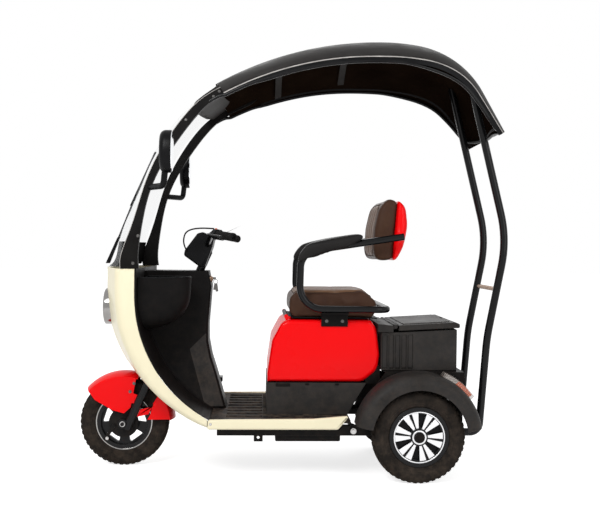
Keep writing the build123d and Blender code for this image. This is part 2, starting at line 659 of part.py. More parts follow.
cover_side = [(cover_rear, 584 + FIT), (cover_rear, 612), (-344, 618), (-344, 584 + FIT)]
front_cover = across(outline(cover_side), -LID_HALF, LID_HALF)
lid_ear = disc(LID_HINGE_X, LID_HINGE_Z, BARREL_R, 190, 204)
lid_ear += block((LID_HINGE_X, 190, LID_HINGE_Z - BARREL_R), (cover_rear + 2, 204, LID_HINGE_Z))
for ear in both_sides(lid_ear):
    front_cover += ear
front_cover += disc(LID_HINGE_X, LID_HINGE_Z, HINGE_R, -200, 200)
keep("trunk_front_cover", front_cover)
lid_side = [
    (LID_HINGE_X - BARREL_R - 2, 590), (-678, 604), (-678, 620), (-660, 627),
    (LID_HINGE_X - BARREL_R - 2, 613),
]
lid = across(outline(lid_side), -LID_HALF, LID_HALF)
lid += disc(LID_HINGE_X, LID_HINGE_Z, BARREL_R, -184, 184)
lid += block((LID_HINGE_X - BARREL_R - 4, -184, LID_HINGE_Z - 5), (LID_HINGE_X - 2, 184, LID_HINGE_Z + 5))
lid -= disc(LID_HINGE_X, LID_HINGE_Z, HINGE_R + RUN, -300, 300)
keep("trunk_lid", lid)

# Rear fenders and tail lights
skin_out = [(FENDER_R, FENDER_IN_Y + FIT), (FENDER_R, FENDER_OUT_Y), (FENDER_LIP_R, FENDER_OUT_Y)]
skin_in = [
    (FENDER_LIP_R, FENDER_OUT_Y - SKIN), (FENDER_R - SKIN, FENDER_OUT_Y - SKIN),
    (FENDER_R - SKIN, FENDER_IN_Y + FIT),
]
fender_skin = outline(skin_out + skin_in, [0, 46, 0, 0, 42, 0])
fender = round_about(fender_skin, REAR_X, AXLE_Z, 10, 172)
keep("rear_fenders", *both_sides(fender))
light_skin = outline([
    (FENDER_R + FIT, 262), (FENDER_R + 20, 268), (FENDER_R + 20, 308), (FENDER_R + FIT, 316),
])
light = round_about(light_skin, REAR_X, AXLE_Z, 112, 145)
keep("tail_lights", *both_sides(light))

# Pillars, windshield and roof
pillar_table = [
    # z, x rear, x front, y outside
    (SHIELD_TOP + FIT, 600, 672, 340),
    (941, 600, 653, 338),
    (1085, 576, 606, 330),
    (1220, 528, 562, 318),
    (1382, 426, 472, 304),
    (1470, 352, 402, 298),
    (1530, 270, 326, 294),
    (1604, 150, 212, 292),
]
PILLAR_T = 22


def pillar_shape(grow):
    """Left pillar through the rows of its table, grown on every side."""
    faces = []
    for z, rear, front, out in pillar_table:
        middle = Pos((rear + front) / 2, out - PILLAR_T / 2, z)
        faces.append(middle * Rectangle(front - rear + 2 * grow, PILLAR_T + 2 * grow))
    return loft(faces)


pillar = pillar_shape(0)
glass_table = [
    # z, x at the edge, x in the middle, half width
    (842, 684, 763, 330),
    (964, 658, 716, 330),
    (1091, 615, 667, 322),
    (1230, 569, 611, 310),
    (1319, 528, 568, 302),
    (1405, 470, 510, 294),
    (1480, 404, 446, 289),
    (1540, 330, 374, 286),
    (1572, 292, 338, 284),
]


def sheet(rows, shift, thick):
    """Curved sheet through rows of the glass table, moved along X."""
    faces = []
    for z, edge, middle, half in rows:
        front = [(edge + shift, half), (middle + shift, 0), (edge + shift, -half)]
        back = [(x - thick, y) for x, y in front]
        face = ringed(ThreePointArc(*front), Line(front[2], back[2]), ThreePointArc(*back),
                      Line(back[0], front[0]))
        faces.append(Pos(0, 0, z) * face)
    return loft(faces)


windshield = sheet(glass_table, 0, 4)
cowl_edge = pillar_table[1][3] - PILLAR_T - FIT
backing = sheet(glass_table, -4 - FIT, 8)
cowl = backing & block((0, -cowl_edge, 700), (900, cowl_edge, 940))
keep("windshield_lower_panel", cowl)


def glass_x(z):
    """X of the windshield's front face in the middle at height z."""
    for lower, upper in zip(glass_table, glass_table[1:]):
        if z <= upper[0]:
            share = (z - lower[0]) / (upper[0] - lower[0])
            return lower[2] + share * (upper[2] - lower[2])
    return glass_table[-1][2]


wiper_runs = [
    # z low, z high, thickness low, thickness high, y low, y high
    (850, 958, 15, 9, 30, 54),
    (940, 1110, 8, 7, 36, 48),
    (1090, 1316, 11, 8, 38, 46),
]
wiper = None
for low_z, high_z, low_t, high_t, low_y, high_y in wiper_runs:
    low_x = glass_x(low_z) + 1
    high_x = glass_x(high_z) + 1
    run = across(outline([(low_x, low_z), (low_x + low_t, low_z), (high_x + high_t, high_z),
                          (high_x, high_z)]), low_y, high_y)
    wiper = run if wiper is None else wiper + run
keep("wiper", wiper - sheet(glass_table, FIT, 30))
header_half = pillar_table[-1][3] - PILLAR_T - 1
header = sheet(glass_table, -4 - FIT, 34) & block((0, -header_half, 1500), (900, header_half, 1700))
roof_bends = [
    # radius, slope at the front end, slope at the rear end
    (1390, 30, 0),
    (900, 0, -9),
    (400, -9, -60),
]
ROOF_FRONT = (328, 1600)
ROOF_TAIL = 185
ROOF_R = 570
ROOF_T = 11
ROOF_HALF = 360
RIM_WIDE = 14
RIM_DEEP = 6
RIM_FRONT = 140


def roof_path():
    """Crown line of the roof from front to rear."""
    x, z = ROOF_FRONT
    edges = []
    for radius, first, last in roof_bends:
        knots = []
        for slope in (first, (first + last) / 2, last):
            away = radius * (sin(radians(first)) - sin(radians(slope)))
            rise = radius * (cos(radians(slope)) - cos(radians(first)))
            knots.append((x - away, 0, z + rise))
        edges.append(Edge.make_three_point_arc(*knots))
        x, z = knots[2][0], knots[2][2]
    slope = radians(roof_bends[-1][2])
    edges.append(Edge.make_line((x, 0, z), (x - ROOF_TAIL * cos(slope), 0, z + ROOF_TAIL * sin(slope))))
    return Wire(edges)


def arch_at(radius, half):
    """Three points of an arch below the crown line."""
    drop = ROOF_R - radius
    fall = radius - sqrt(radius ** 2 - half ** 2)
    return [(-half, -drop - fall), (0, -drop), (half, -drop - fall)]


def roof_skin(rise, sink):
    """Arched band along the crown line, its top and underside moved apart."""
    slope = radians(roof_bends[0][1])
    start = Plane(origin=(ROOF_FRONT[0], 0, ROOF_FRONT[1]), x_dir=(0, 1, 0),
                  z_dir=(cos(slope), 0, -sin(slope)))
    top = arch_at(ROOF_R + rise, ROOF_HALF)
    low = arch_at(ROOF_R - ROOF_T - sink, ROOF_HALF)
    face = ringed(ThreePointArc(*top), Line(top[2], low[2]), ThreePointArc(*low), Line(low[0], top[0]))
    return sweep(start * face, path=roof_path())


roof_half_plan = [(420, 300), (-330, 350), (-540, 350), (-872, 238)]
roof_plan = roof_half_plan + [(x, -y) for x, y in reversed(roof_half_plan)]
roof_trim = make_face(FilletPolyline(*roof_plan, radius=[0, 850, 500, 90, 90, 500, 850, 0], close=True))
roof_zone = extrude(Pos(0, 0, 1200) * roof_trim, 800)
rim_zone = roof_zone - extrude(Pos(0, 0, 1200) * offset(roof_trim, -RIM_WIDE), 800)
rim_zone &= block((-1000, -500, 1100), (RIM_FRONT, 500, 2100))
canopy = (roof_skin(0, 0) & roof_zone) + (roof_skin(0, RIM_DEEP) & rim_zone)
keep("roof_canopy", canopy)
rib_zone = roof_skin(-ROOF_T - FIT, 14)
ribs = None
for rib_x in (-226, 60):
    rib = rib_zone & block((rib_x - 14, -290, 1200), (rib_x + 14, 290, 2000))
    ribs = rib if ribs is None else ribs + rib
keep("roof_ribs", ribs & extrude(Pos(0, 0, 1200) * offset(roof_trim, -RIM_WIDE - FIT), 800))
roof_room = roof_skin(120, FIT)
for room in both_sides(pillar_shape(FIT)):
    windshield -= room
keep("windshield", windshield - roof_room)
keep("windshield_header", header - roof_room)
keep("pillars", *both_sides(pillar - roof_room))

# Rear posts
post_points = [
    (-723, POST_Y, 1640), (-889, POST_Y, 965), (-812, POST_Y, 560), (-783, POST_Y, 172),
    (POST_FOOT_X + 40, POST_Y, 172),
]
post = tube(post_points, [500, 800, 40], POST_R)
post = Pos(-LENGTH / 2 - post.bounding_box().min.X, 0, 0) * post
post -= roof_room
post -= block((POST_FOOT_X - FIT, 0, 100), (0, 300, 400))
keep("rear_posts", *both_sides(post))
crossbar = disc(-843, 760, 9, -POST_Y, POST_Y)
for flip in (1, -1):
    crossbar -= Pos(-843, flip * POST_Y, 760) * Box(60, 2 * (POST_R + FIT), 60)
keep("rear_post_crossbar", crossbar)

# Mirrors
MIRROR_X = 470
MIRROR_Y = 420
MIRROR_Z = 1278
mirror_head = extrude(Plane.YZ.offset(MIRROR_X) * (Pos(MIRROR_Y, MIRROR_Z) * Ellipse(56, 80)), 44)
mirror_head = fillet(mirror_head.edges().sort_by(Axis.X)[-1], 24)
mirror_stem = tube([(494, 416, 1215), (500, 412, 1150), (566, 312, 1150)], [22], 12) - pillar
keep("mirrors", *both_sides(mirror_head + mirror_stem))
mirror_face = extrude(Plane.YZ.offset(MIRROR_X - FIT - 3) * (Pos(MIRROR_Y, MIRROR_Z) * Ellipse(50, 74)), 3)
keep("mirror_glass", *both_sides(mirror_face))

os.makedirs("parts", exist_ok=True)
for name, shape in PARTS.items():
    export_step(shape, f"parts/{name}.step")
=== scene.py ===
"""Canopy tricycle: dresses the fixed model with finishes, soft goods, lamps and small fittings."""
import json
from functools import partial
from math import atan, cos, pi, radians, sin

import bmesh
import bpy
from bpy.props import FloatProperty, FloatVectorProperty, PointerProperty
from mathutils import Matrix, Vector
from mathutils.bvhtree import BVHTree

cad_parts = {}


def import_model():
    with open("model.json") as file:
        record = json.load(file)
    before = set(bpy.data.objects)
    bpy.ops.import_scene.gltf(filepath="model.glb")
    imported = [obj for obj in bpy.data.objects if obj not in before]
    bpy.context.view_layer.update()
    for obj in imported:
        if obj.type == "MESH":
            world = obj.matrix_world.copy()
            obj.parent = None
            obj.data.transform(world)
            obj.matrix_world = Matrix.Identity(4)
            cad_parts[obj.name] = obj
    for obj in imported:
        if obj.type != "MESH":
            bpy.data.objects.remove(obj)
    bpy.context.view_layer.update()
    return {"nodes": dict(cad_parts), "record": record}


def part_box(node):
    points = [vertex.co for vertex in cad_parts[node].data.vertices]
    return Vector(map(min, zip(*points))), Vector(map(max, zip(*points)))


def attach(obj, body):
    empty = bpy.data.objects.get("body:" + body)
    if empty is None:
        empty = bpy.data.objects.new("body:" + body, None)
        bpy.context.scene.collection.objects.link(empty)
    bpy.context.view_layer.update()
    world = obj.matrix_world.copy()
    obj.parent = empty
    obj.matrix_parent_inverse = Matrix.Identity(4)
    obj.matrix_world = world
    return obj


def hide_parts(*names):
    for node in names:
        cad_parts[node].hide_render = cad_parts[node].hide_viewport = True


bl_info = {
    "name": "Canopy Tricycle Dresser",
    "version": (1, 0, 0),
    "blender": (4, 5, 0),
    "location": "View3D > Sidebar > Tricycle",
    "description": "Finishes, cushions, tyres, lamps and fittings for a canopy tricycle",
    "category": "Object",
}

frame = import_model()
BODY_OF = {node: body for body, nodes in frame["record"]["behaviour"]["bodies"].items() for node in nodes}
SLOT_OF = {row["node"]: row["material_slot"] for row in frame["record"]["subparts"]}
MM = 0.001
FRONT_AXLE = Vector((0.697, 0.0, 0.185))
REAR_AXLES = {"left": Vector((-0.495, 0.3, 0.185)), "right": Vector((-0.495, -0.3, 0.185))}
SIDES = (1, -1)
AHEAD, LEFT, UP = (1, 0, 0), (0, 1, 0), (0, 0, 1)
WHITE = (1.0, 1.0, 1.0)
GRAIN_DEPTH = 0.0004  # relief of moulded and lacquered finishes


def colour_property(label, note, value):
    """Colour setting with its label and note."""
    return FloatVectorProperty(name=label, description=note, default=value, size=3, min=0.0, max=1.0,
                               subtype="COLOR")


def length_property(label, note, value):
    """Length setting in metres with its label and note."""
    return FloatProperty(name=label, description=note, default=value, min=0.0, unit="LENGTH", precision=4)


class TricycleColours(bpy.types.PropertyGroup):
    """Colours of the finishes."""
    red: colour_property("Red shell", "Seat box, front fender and back of the backrest", (0.97, 0.001, 0.003))
    ivory: colour_property("Ivory shell", "Front shield and side sills", (0.93, 0.86, 0.62))
    black: colour_property("Moulded black", "Satin black mouldings", (0.0065, 0.006, 0.006))
    grey: colour_property("Dark grey", "Pillars and weathered mouldings", (0.0135, 0.0125, 0.012))
    tube: colour_property("Tube black", "Glossy black steel tubes", (0.005, 0.005, 0.0055))
    hide: colour_property("Seat sides", "Brown hide on the sides of the cushions", (0.050, 0.024, 0.016))
    hide_top: colour_property("Seat top", "Lighter hide on the sitting face", (0.165, 0.088, 0.050))
    rubber: colour_property("Tyre rubber", "Tyre under its dust", (0.020, 0.017, 0.015))
    dust: colour_property("Road dust", "Dry dust on tyres, mat and mouldings", (0.20, 0.145, 0.105))
    silver: colour_property("Silver", "Spokes and bright metal", (0.78, 0.78, 0.79))


class TricycleSizes(bpy.types.PropertyGroup):
    """Sizes of the pieces that are modelled here."""
    tread: length_property("Tread depth", "Height of the tread blocks", 0.006)
    seam: length_property("Seam depth", "Depth of the sewn channels in the cushions", 0.0035)
    piping: length_property("Piping", "Radius of the piping round the cushions", 0.0022)
    voxel: length_property("Cushion mesh", "Mesh size that the cushions are filled at", 0.006)


def settings():
    """Colours and sizes of the scene."""
    scene = bpy.context.scene
    return scene.tricycle_colours, scene.tricycle_sizes


# Shader nodes


def feed(tree, socket, source):
    """Links an output to a socket, or sets the socket's value; colours are given as three numbers."""
    if isinstance(source, bpy.types.NodeSocket):
        tree.links.new(source, socket)
    elif isinstance(source, tuple):
        socket.default_value = (*source, 1.0)
    else:
        socket.default_value = source


def fed(tree, node, **sources):
    """Node with its sockets fed by name."""
    for key, source in sources.items():
        label = key.replace("_", " ").title().replace("Ior", "IOR")
        feed(tree, node.inputs[label], source)
    return node


def added(tree, kind, **sources):
    """New shader node with its sockets fed by name."""
    return fed(tree, tree.nodes.new("ShaderNode" + kind), **sources)


def joined(tree, kind, *sources):
    """New shader node with its sockets fed in order."""
    node = tree.nodes.new("ShaderNode" + kind)
    for socket, source in zip(node.inputs, sources):
        feed(tree, socket, source)
    return node


def combined(tree, way, first, second):
    """Result of a sum with two values."""
    node = joined(tree, "Math", first, second)
    node.operation = way
    return node.outputs[0]


def ranged(tree, source, start, end, low=0.0, high=1.0):
    """Value carried from one range to another."""
    node = added(tree, "MapRange", value=source, from_min=start, from_max=end, to_min=low, to_max=high)
    return node.outputs["Result"]


def noise(tree, vector, scale, detail, rough=0.5):
    """Noise texture."""
    node = added(tree, "TexNoise", vector=vector, scale=scale, detail=detail, roughness=rough)
    return node.outputs[0]


def effect(name, inputs, outputs, fill):
    """Shared node group of values, filled when it is first asked for."""
    tree = bpy.data.node_groups.get(name)
    if tree:
        return tree
    tree = bpy.data.node_groups.new(name, "ShaderNodeTree")
    tree.interface.new_socket("Vector", in_out="INPUT", socket_type="NodeSocketVector")
    for label, value in inputs.items():
        socket = tree.interface.new_socket(label, in_out="INPUT", socket_type="NodeSocketFloat")
        socket.default_value = value
    for label in outputs:
        tree.interface.new_socket(label, in_out="OUTPUT", socket_type="NodeSocketFloat")
    start, end = tree.nodes.new("NodeGroupInput"), tree.nodes.new("NodeGroupOutput")
    fed(tree, end, **fill(tree, start.outputs["Vector"], start.outputs["Scale"], start.outputs))
    return tree


def grain_effect():
    """Fine moulded grain and a broad change of tone."""
    def fill(tree, place, scale, _):
        broad = noise(tree, place, combined(tree, "MULTIPLY", scale, 0.012), 4.0)
        return {"height": noise(tree, place, scale, 3.0, 0.6), "tone": ranged(tree, broad, 0.3, 0.7)}

    return effect("Moulded Grain", {"Scale": 900.0}, ["Height", "Tone"], fill)


def dust_effect():
    """Patchy dry dust that thins out with height."""
    def fill(tree, place, scale, inputs):
        patches = ranged(tree, noise(tree, place, scale, 9.0, 0.68), 0.40, 0.72)
        height = added(tree, "SeparateXYZ", vector=place).outputs["Z"]
        fade = ranged(tree, height, inputs["Clear"], 0.0)
        return {"mask": combined(tree, "MULTIPLY", patches, fade)}

    return effect("Road Dust", {"Scale": 40.0, "Clear": 1.0}, ["Mask"], fill)


def hide_effect():
    """Pebbled hide: small cells with creases between them, and worn tones."""
    def fill(tree, place, scale, _):
        cells = added(tree, "TexVoronoi", vector=place, scale=scale)
        cells.feature = "DISTANCE_TO_EDGE"
        broad = noise(tree, place, combined(tree, "MULTIPLY", scale, 0.03), 5.0)
        return {"height": ranged(tree, cells.outputs["Distance"], 0.0, 0.16),
                "tone": ranged(tree, broad, 0.25, 0.75)}

    return effect("Pebbled Hide", {"Scale": 420.0}, ["Height", "Tone"], fill)


# Finishes


class Finish:
    """A material with one principled shader fed by nodes in object coordinates."""

    def __init__(self, name, **values):
        self.material = bpy.data.materials.new(name)
        self.material.use_nodes = True
        self.tree = self.material.node_tree
        self.tree.nodes.clear()
        self.skin = added(self.tree, "BsdfPrincipled", **values)
        added(self.tree, "OutputMaterial", surface=self.skin.outputs["BSDF"])
        self.place = added(self.tree, "TexCoord").outputs["Object"]

    def group(self, tree, **values):
        """Outputs of a shared effect, placed with its own values."""
        node = self.tree.nodes.new("ShaderNodeGroup")
        node.node_tree = tree
        return fed(self.tree, node, vector=self.place, **values).outputs

    def mix(self, factor, first, second):
        """Colour between two colours."""
        node = self.tree.nodes.new("ShaderNodeMix")
        node.data_type = "RGBA"
        for index, source in ((0, factor), (6, first), (7, second)):
            feed(self.tree, node.inputs[index], source)
        return node.outputs[2]

    def between(self, source, low, high):
        """Value from nought to one carried to a range."""
        return ranged(self.tree, source, 0.0, 1.0, low, high)

    def relief(self, height, strength, distance):
        """Relief on the shader's normal."""
        bump = added(self.tree, "Bump", strength=strength, distance=distance, height=height)
        fed(self.tree, self.skin, normal=bump.outputs["Normal"])

    def done(self, base, rough, **more):
        """Material with its colour and roughness fed."""
        fed(self.tree, self.skin, base_color=base, roughness=rough, **more)
        return self.material


def tinted(colour, factor):
    """Colour made darker or lighter."""
    return tuple(min(1.0, part * factor) for part in colour)


def moulded(colour, rough, grain=900.0, relief=0.25, dust=0.0, clear=0.9, level=0.09, *, name):
    """Moulded plastic or rubber with grain, uneven tone and dust near the ground."""
    colours, _ = settings()
    finish = Finish(name, specular_ior_level=level)
    marks = finish.group(grain_effect(), scale=grain)
    base = finish.mix(marks["Tone"], tinted(colour, 0.72), tinted(colour, 1.3))
    if dust > 0.0:
        mask = finish.group(dust_effect(), scale=34.0, clear=clear)["Mask"]
        base = finish.mix(finish.between(mask, 0.0, dust), base, tuple(colours.dust))
    finish.relief(marks["Height"], relief, GRAIN_DEPTH)
    return finish.done(base, finish.between(marks["Tone"], rough - 0.06, rough + 0.08))


def lacquered(colour, rough, coat, *, name):
    """Glossy coloured moulding under clear lacquer, with a faint ripple."""
    finish = Finish(name, coat_weight=coat, coat_roughness=0.08, specular_ior_level=0.08)
    marks = finish.group(grain_effect(), scale=260.0)
    base = finish.mix(marks["Tone"], tinted(colour, 0.93), colour)
    finish.relief(marks["Height"], 0.06, GRAIN_DEPTH)
    return finish.done(base, finish.between(marks["Tone"], rough - 0.04, rough + 0.05))


def metal(colour, rough, relief, dull=0.8, *, name):
    """Bare or plated metal with smears and fine turning marks."""
    finish = Finish(name, metallic=1.0)
    marks = finish.group(grain_effect(), scale=700.0)
    base = finish.mix(marks["Tone"], tinted(colour, dull), colour)
    finish.relief(marks["Height"], relief, 0.0002)
    return finish.done(base, finish.between(marks["Tone"], max(0.02, rough - 0.05), rough + 0.10))


def hide(sides, top, *, name):
    """Synthetic hide, lighter where the piece's panel attribute says so."""
    finish = Finish(name, specular_ior_level=0.06)
    marks = finish.group(hide_effect(), scale=420.0)
    panel = added(finish.tree, "Attribute")
    panel.attribute_name = "panel"
    base = finish.mix(panel.outputs["Fac"], sides, top)
    patched = finish.mix(finish.between(marks["Tone"], 0.0, 0.35), base, tinted(top, 0.6))
    finish.relief(marks["Height"], 0.35, 0.0005)
    return finish.done(patched, finish.between(marks["Tone"], 0.30, 0.46))


def thin_sheet(colour, cover, *, name):
    """Thin clear sheet that hides a share of what lies behind it."""
    finish = Finish(name, specular_ior_level=0.2)
    tone = finish.group(grain_effect(), scale=120.0)["Tone"]
    base = finish.mix(tone, tinted(colour, 0.96), colour)
    return finish.done(base, finish.between(tone, 0.05, 0.09), alpha=finish.between(tone, 0.8 * cover, cover))


def finishes():
    """What makes every finish, by name, from the colour settings."""
    c, _ = settings()
    black, grey = tuple(c.black), tuple(c.grey)
    return {
        "red_gloss": partial(lacquered, tuple(c.red), 0.30, 0.10),
        "ivory_gloss": partial(lacquered, tuple(c.ivory), 0.34, 0.15),
        "satin_black": partial(moulded, black, 0.42, dust=0.08, level=0.05),
        "dusty_black": partial(moulded, tinted(grey, 1.9), 0.48, dust=0.12, clear=1.2, level=0.10),
        "pale_dusty_black": partial(moulded, tinted(grey, 2.4), 0.6, dust=0.30, clear=1.0, level=0.05),
        "pillar_grey": partial(moulded, tinted(grey, 0.6), 0.42, 1200.0, 0.15, level=0.04),
        "roof_black": partial(moulded, tinted(grey, 1.9), 0.40, 1100.0, 0.12, level=0.012),
        "roof_liner": partial(moulded, (0.011, 0.0065, 0.0042), 0.8, 500.0, 0.5, level=0.0),
        "deep_black": partial(moulded, (0.004, 0.004, 0.0045), 0.35, 1000.0, 0.1),
        "tube_black": partial(lacquered, tuple(c.tube), 0.24, 0.2),
        "chassis_black": partial(moulded, (0.008, 0.0075, 0.0075), 0.5, dust=0.10, clear=0.5),
        "tyre_rubber": partial(moulded, tuple(c.rubber), 0.72, 700.0, 0.5, 0.22, 0.7, 0.03),
        "grip_rubber": partial(moulded, tinted(black, 1.4), 0.66, 1400.0, 0.4),
        "mat_rubber": partial(moulded, tinted(black, 2.2), 0.6, 800.0, 0.45, 0.75, 0.6, 0.05),
        "rim_black": partial(lacquered, (0.006, 0.006, 0.0065), 0.28, 0.2),
        "rim_silver": partial(metal, tuple(c.silver), 0.30, 0.15, 0.9),
        "chrome": partial(metal, (0.34, 0.33, 0.32), 0.12, 0.02, 0.7),
        "bright_steel": partial(metal, (0.58, 0.57, 0.56), 0.30, 0.2),
        "bolt_steel": partial(metal, (0.13, 0.125, 0.12), 0.34, 0.2),
        "mirror_face": partial(metal, (0.88, 0.90, 0.92), 0.03, 0.0, 0.97),
        "clear_glass": partial(thin_sheet, (0.22, 0.25, 0.27), 0.05),
        "lamp_glass": partial(thin_sheet, (0.30, 0.26, 0.23), 0.45),
        "brown_hide": partial(hide, tuple(c.hide), tuple(c.hide_top)),
        "black_hide": partial(hide, (0.016, 0.015, 0.015), (0.040, 0.037, 0.035)),
        "thread": partial(moulded, (0.045, 0.026, 0.018), 0.7, 2500.0, 0.6),
        "orange_plastic": partial(lacquered, (0.85, 0.13, 0.02), 0.3, 0.3),
        # light grey for painted highlight lines along the roof and pillar edges, and for the upper part of
        # the tail lamp cores
        "highlight_and_lamp_grey": partial(moulded, (0.42, 0.40, 0.38), 0.4, 1500.0, 0.1),
        "worn_brass": partial(metal, (0.30, 0.20, 0.14), 0.42, 0.25),
    }


def finish(name):
    """One finish, built when it is first asked for."""
    label = name + "_finish"
    return bpy.data.materials.get(label) or finishes()[name](name=label)


# Mesh helpers


def at(x, y, z):
    """Point from millimetres."""
    return Vector((x, y, z)) * MM


def placed(name, data):
    """New object in the scene."""
    obj = bpy.data.objects.new(name, data)
    bpy.context.scene.collection.objects.link(obj)
    return obj


def mesh_of(name, bm):
    """New mesh from a bmesh, which is freed."""
    mesh = bpy.data.meshes.new(name)
    bm.to_mesh(mesh)
    bm.free()
    return mesh


def evaluated(obj):
    """New mesh of an object as its modifiers or its curve settings leave it."""
    return bpy.data.meshes.new_from_object(obj.evaluated_get(bpy.context.evaluated_depsgraph_get()))


def piece(name, bm, *names, angle=35.0):
    """New object from a bmesh with its finishes, smooth but for its sharp edges."""
    mesh = mesh_of(name, bm)
    mesh.shade_smooth()
    mesh.set_sharp_from_angle(angle=radians(angle))
    for label in names:
        mesh.materials.append(finish(label))
    return placed(name, mesh)


def rounded(obj, width, segments=2, angle=38.0):
    """Rounds an object's sharp edges."""
    bevel = obj.modifiers.new("Rounding", "BEVEL")
    bevel.width = width
    bevel.segments = segments
    bevel.limit_method = "ANGLE"
    bevel.angle_limit = radians(angle)
    bevel.use_clamp_overlap = False
    bevel.harden_normals = True
    return obj


def carried(obj, body, slot, *nodes):
    """Object that rides on a body and stands for CAD nodes, which it hides; the slot is not used."""
    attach(obj, body)
    if nodes:
        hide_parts(*nodes)
    return obj


def fitted(name, bm, label, body, slot, *nodes, angle=35.0, width=0.0, segments=2):
    """Piece of one finish on a body, with rounded edges where a width in metres is given."""
    obj = piece(name, bm, label, angle=angle)
    if width > 0.0:
        rounded(obj, width, segments)
    return carried(obj, body, slot, *nodes)


def cad_copy(node):
    """Merged copy of a CAD node's mesh."""
    bm = bmesh.new()
    bm.from_mesh(frame["nodes"][node].data)
    bmesh.ops.remove_doubles(bm, verts=bm.verts, dist=1e-5)
    bmesh.ops.dissolve_limit(bm, angle_limit=radians(0.5), verts=bm.verts, edges=bm.edges)
    bm.normal_update()
    return bm


def edged(bm, first, second, width, index):
    """Painted highlight: a strip of another finish along the edges between two kinds of face."""
    def parts(one, two):
        return (first(one) and second(two)) or (first(two) and second(one))

    edges = [edge for edge in bm.edges if len(edge.link_faces) == 2 and parts(*edge.link_faces)]
    made = bmesh.ops.bevel(bm, geom=edges, offset=width, affect="EDGES", segments=2, profile=0.5, material=-1)
    for face in made["faces"]:
        face.material_index = index


def dressed(node, *labels, width, segments=2, choose=None, strip=None, cuts=()):
    """CAD node with edges rounded by a width in metres.

    choose gives a face's finish by number, strip is passed to edged, and cuts are points and normals of
    planes that part the faces.
    """
    bm = cad_copy(node)
    for point, normal in cuts:
        bmesh.ops.bisect_plane(bm, geom=[*bm.verts, *bm.edges, *bm.faces], plane_co=point, plane_no=normal)
    if choose:
        for face in bm.faces:
            face.material_index = int(choose(face))
    if strip:
        edged(bm, *strip)
    obj = piece("dressed_" + node, bm, *labels)
    if width > 0.0:
        rounded(obj, width, segments)
    return carried(obj, BODY_OF[node], SLOT_OF[node], node)


def dress(**rows):
    """Dresses nodes by name, each with a finish and an edge rounding in metres."""
    for node, (label, width) in rows.items():
        dressed(node, label, width=width)


def spun(bm, profile, centre, axis, steps, closed=False, start=None):
    """Profile of (radius, along) millimetres turned fully round an axis."""
    axis = Vector(axis).normalized()
    across = Vector(start) if start else axis.orthogonal()
    across = across.normalized()
    verts = [bm.verts.new(Vector(centre) + across * r * MM + axis * a * MM) for r, a in profile]
    edges = [bm.edges.new(pair) for pair in zip(verts, verts[1:])]
    if closed:
        edges.append(bm.edges.new((verts[-1], verts[0])))
    bmesh.ops.spin(bm, geom=verts + edges, cent=centre, axis=axis, dvec=(0, 0, 0), angle=2 * pi, steps=steps,
                   use_merge=True, use_duplicate=False)


def closed_up(bm):
    """Merges doubles and turns the faces outwards."""
    bmesh.ops.remove_doubles(bm, verts=bm.verts, dist=1e-6)
    bmesh.ops.recalc_face_normals(bm, faces=bm.faces)
    return bm


def turned(name, turns, label, body, slot, *nodes, **looks):
    """Piece made of turned profiles, each given as spun takes it."""
    bm = bmesh.new()
    for turn in turns:
        spun(bm, *turn)
    return fitted(name, closed_up(bm), label, body, slot, *nodes, **looks)


def wire(radius, along, thick, count):
    """Profile of a round wire, in millimetres."""
    angles = [2 * pi * step / count for step in range(count)]
    return [(radius + thick * cos(angle), along + thick * sin(angle)) for angle in angles]


def facing(direction):
    """Rotation that takes +Z to a direction."""
    return Vector(direction).normalized().to_track_quat("Z", "Y").to_matrix().to_4x4()


def box_at(bm, middle, size, turn=None):
    """Box of a size in millimetres about a point in millimetres."""
    scale = Matrix.Diagonal((*[s * MM for s in size], 1))
    matrix = Matrix.Translation(at(*middle)) @ (turn or Matrix()) @ scale
    return bmesh.ops.create_cube(bm, size=1.0, matrix=matrix)["verts"]


def boxed(name, boxes, label, body, slot, **looks):
    """Piece made of boxes, each given as box_at takes it."""
    bm = bmesh.new()
    for box in boxes:
        box_at(bm, *box)
    return fitted(name, bm, label, body, slot, **looks)


def bolt_at(bm, place, direction, radius, segments=6):
    """Bolt head on a washer, its place and radius in millimetres."""
    turn = Matrix.Translation(at(*place)) @ facing(direction)
    radius *= MM
    for low, high, wide, count in ((-0.4, 0.25, 1.45, 20), (0.25, 0.8, 1.0, segments)):
        height = (high - low) * radius
        matrix = turn @ Matrix.Translation((0, 0, (low * radius + height / 2)))
        bmesh.ops.create_cone(bm, cap_ends=True, segments=count, radius1=wide * radius,
                              radius2=0.92 * wide * radius, depth=height, matrix=matrix)


def bolted(name, bolts, label, body, slot, width, lone=()):
    """Bolts on both sides from x, y, z and radius on the left, and lone bolts as bolt_at takes them."""
    bm = bmesh.new()
    for out in SIDES:
        for x, y, z, radius in bolts:
            bolt_at(bm, (x, out * y, z), (0, out, 0), radius)
    for bolt in lone:
        bolt_at(bm, *bolt)
    return fitted(name, bm, label, body, slot, width=width)


def ring_copies(bm, verts, centre, axis, count):
    """Copies of a shape evenly round an axis."""
    geom = list({e for v in verts for e in v.link_edges}) + list({f for v in verts for f in v.link_faces})
    bmesh.ops.spin(bm, geom=list(verts) + geom, cent=centre, axis=axis, dvec=(0, 0, 0),
                   angle=2 * pi * (count - 1) / count, steps=count - 1, use_duplicate=True)


def sheet(bm, corners, thick):
    """Flat sheet with corners in millimetres, thickened in metres."""
    verts = [bm.verts.new(at(*corner)) for corner in corners]
    edges = [bm.edges.new(pair) for pair in zip(verts, verts[1:] + verts[:1])]
    faces = bmesh.ops.contextual_create(bm, geom=edges)["faces"]
    bm.normal_update()
    bmesh.ops.solidify(bm, geom=faces, thickness=thick)


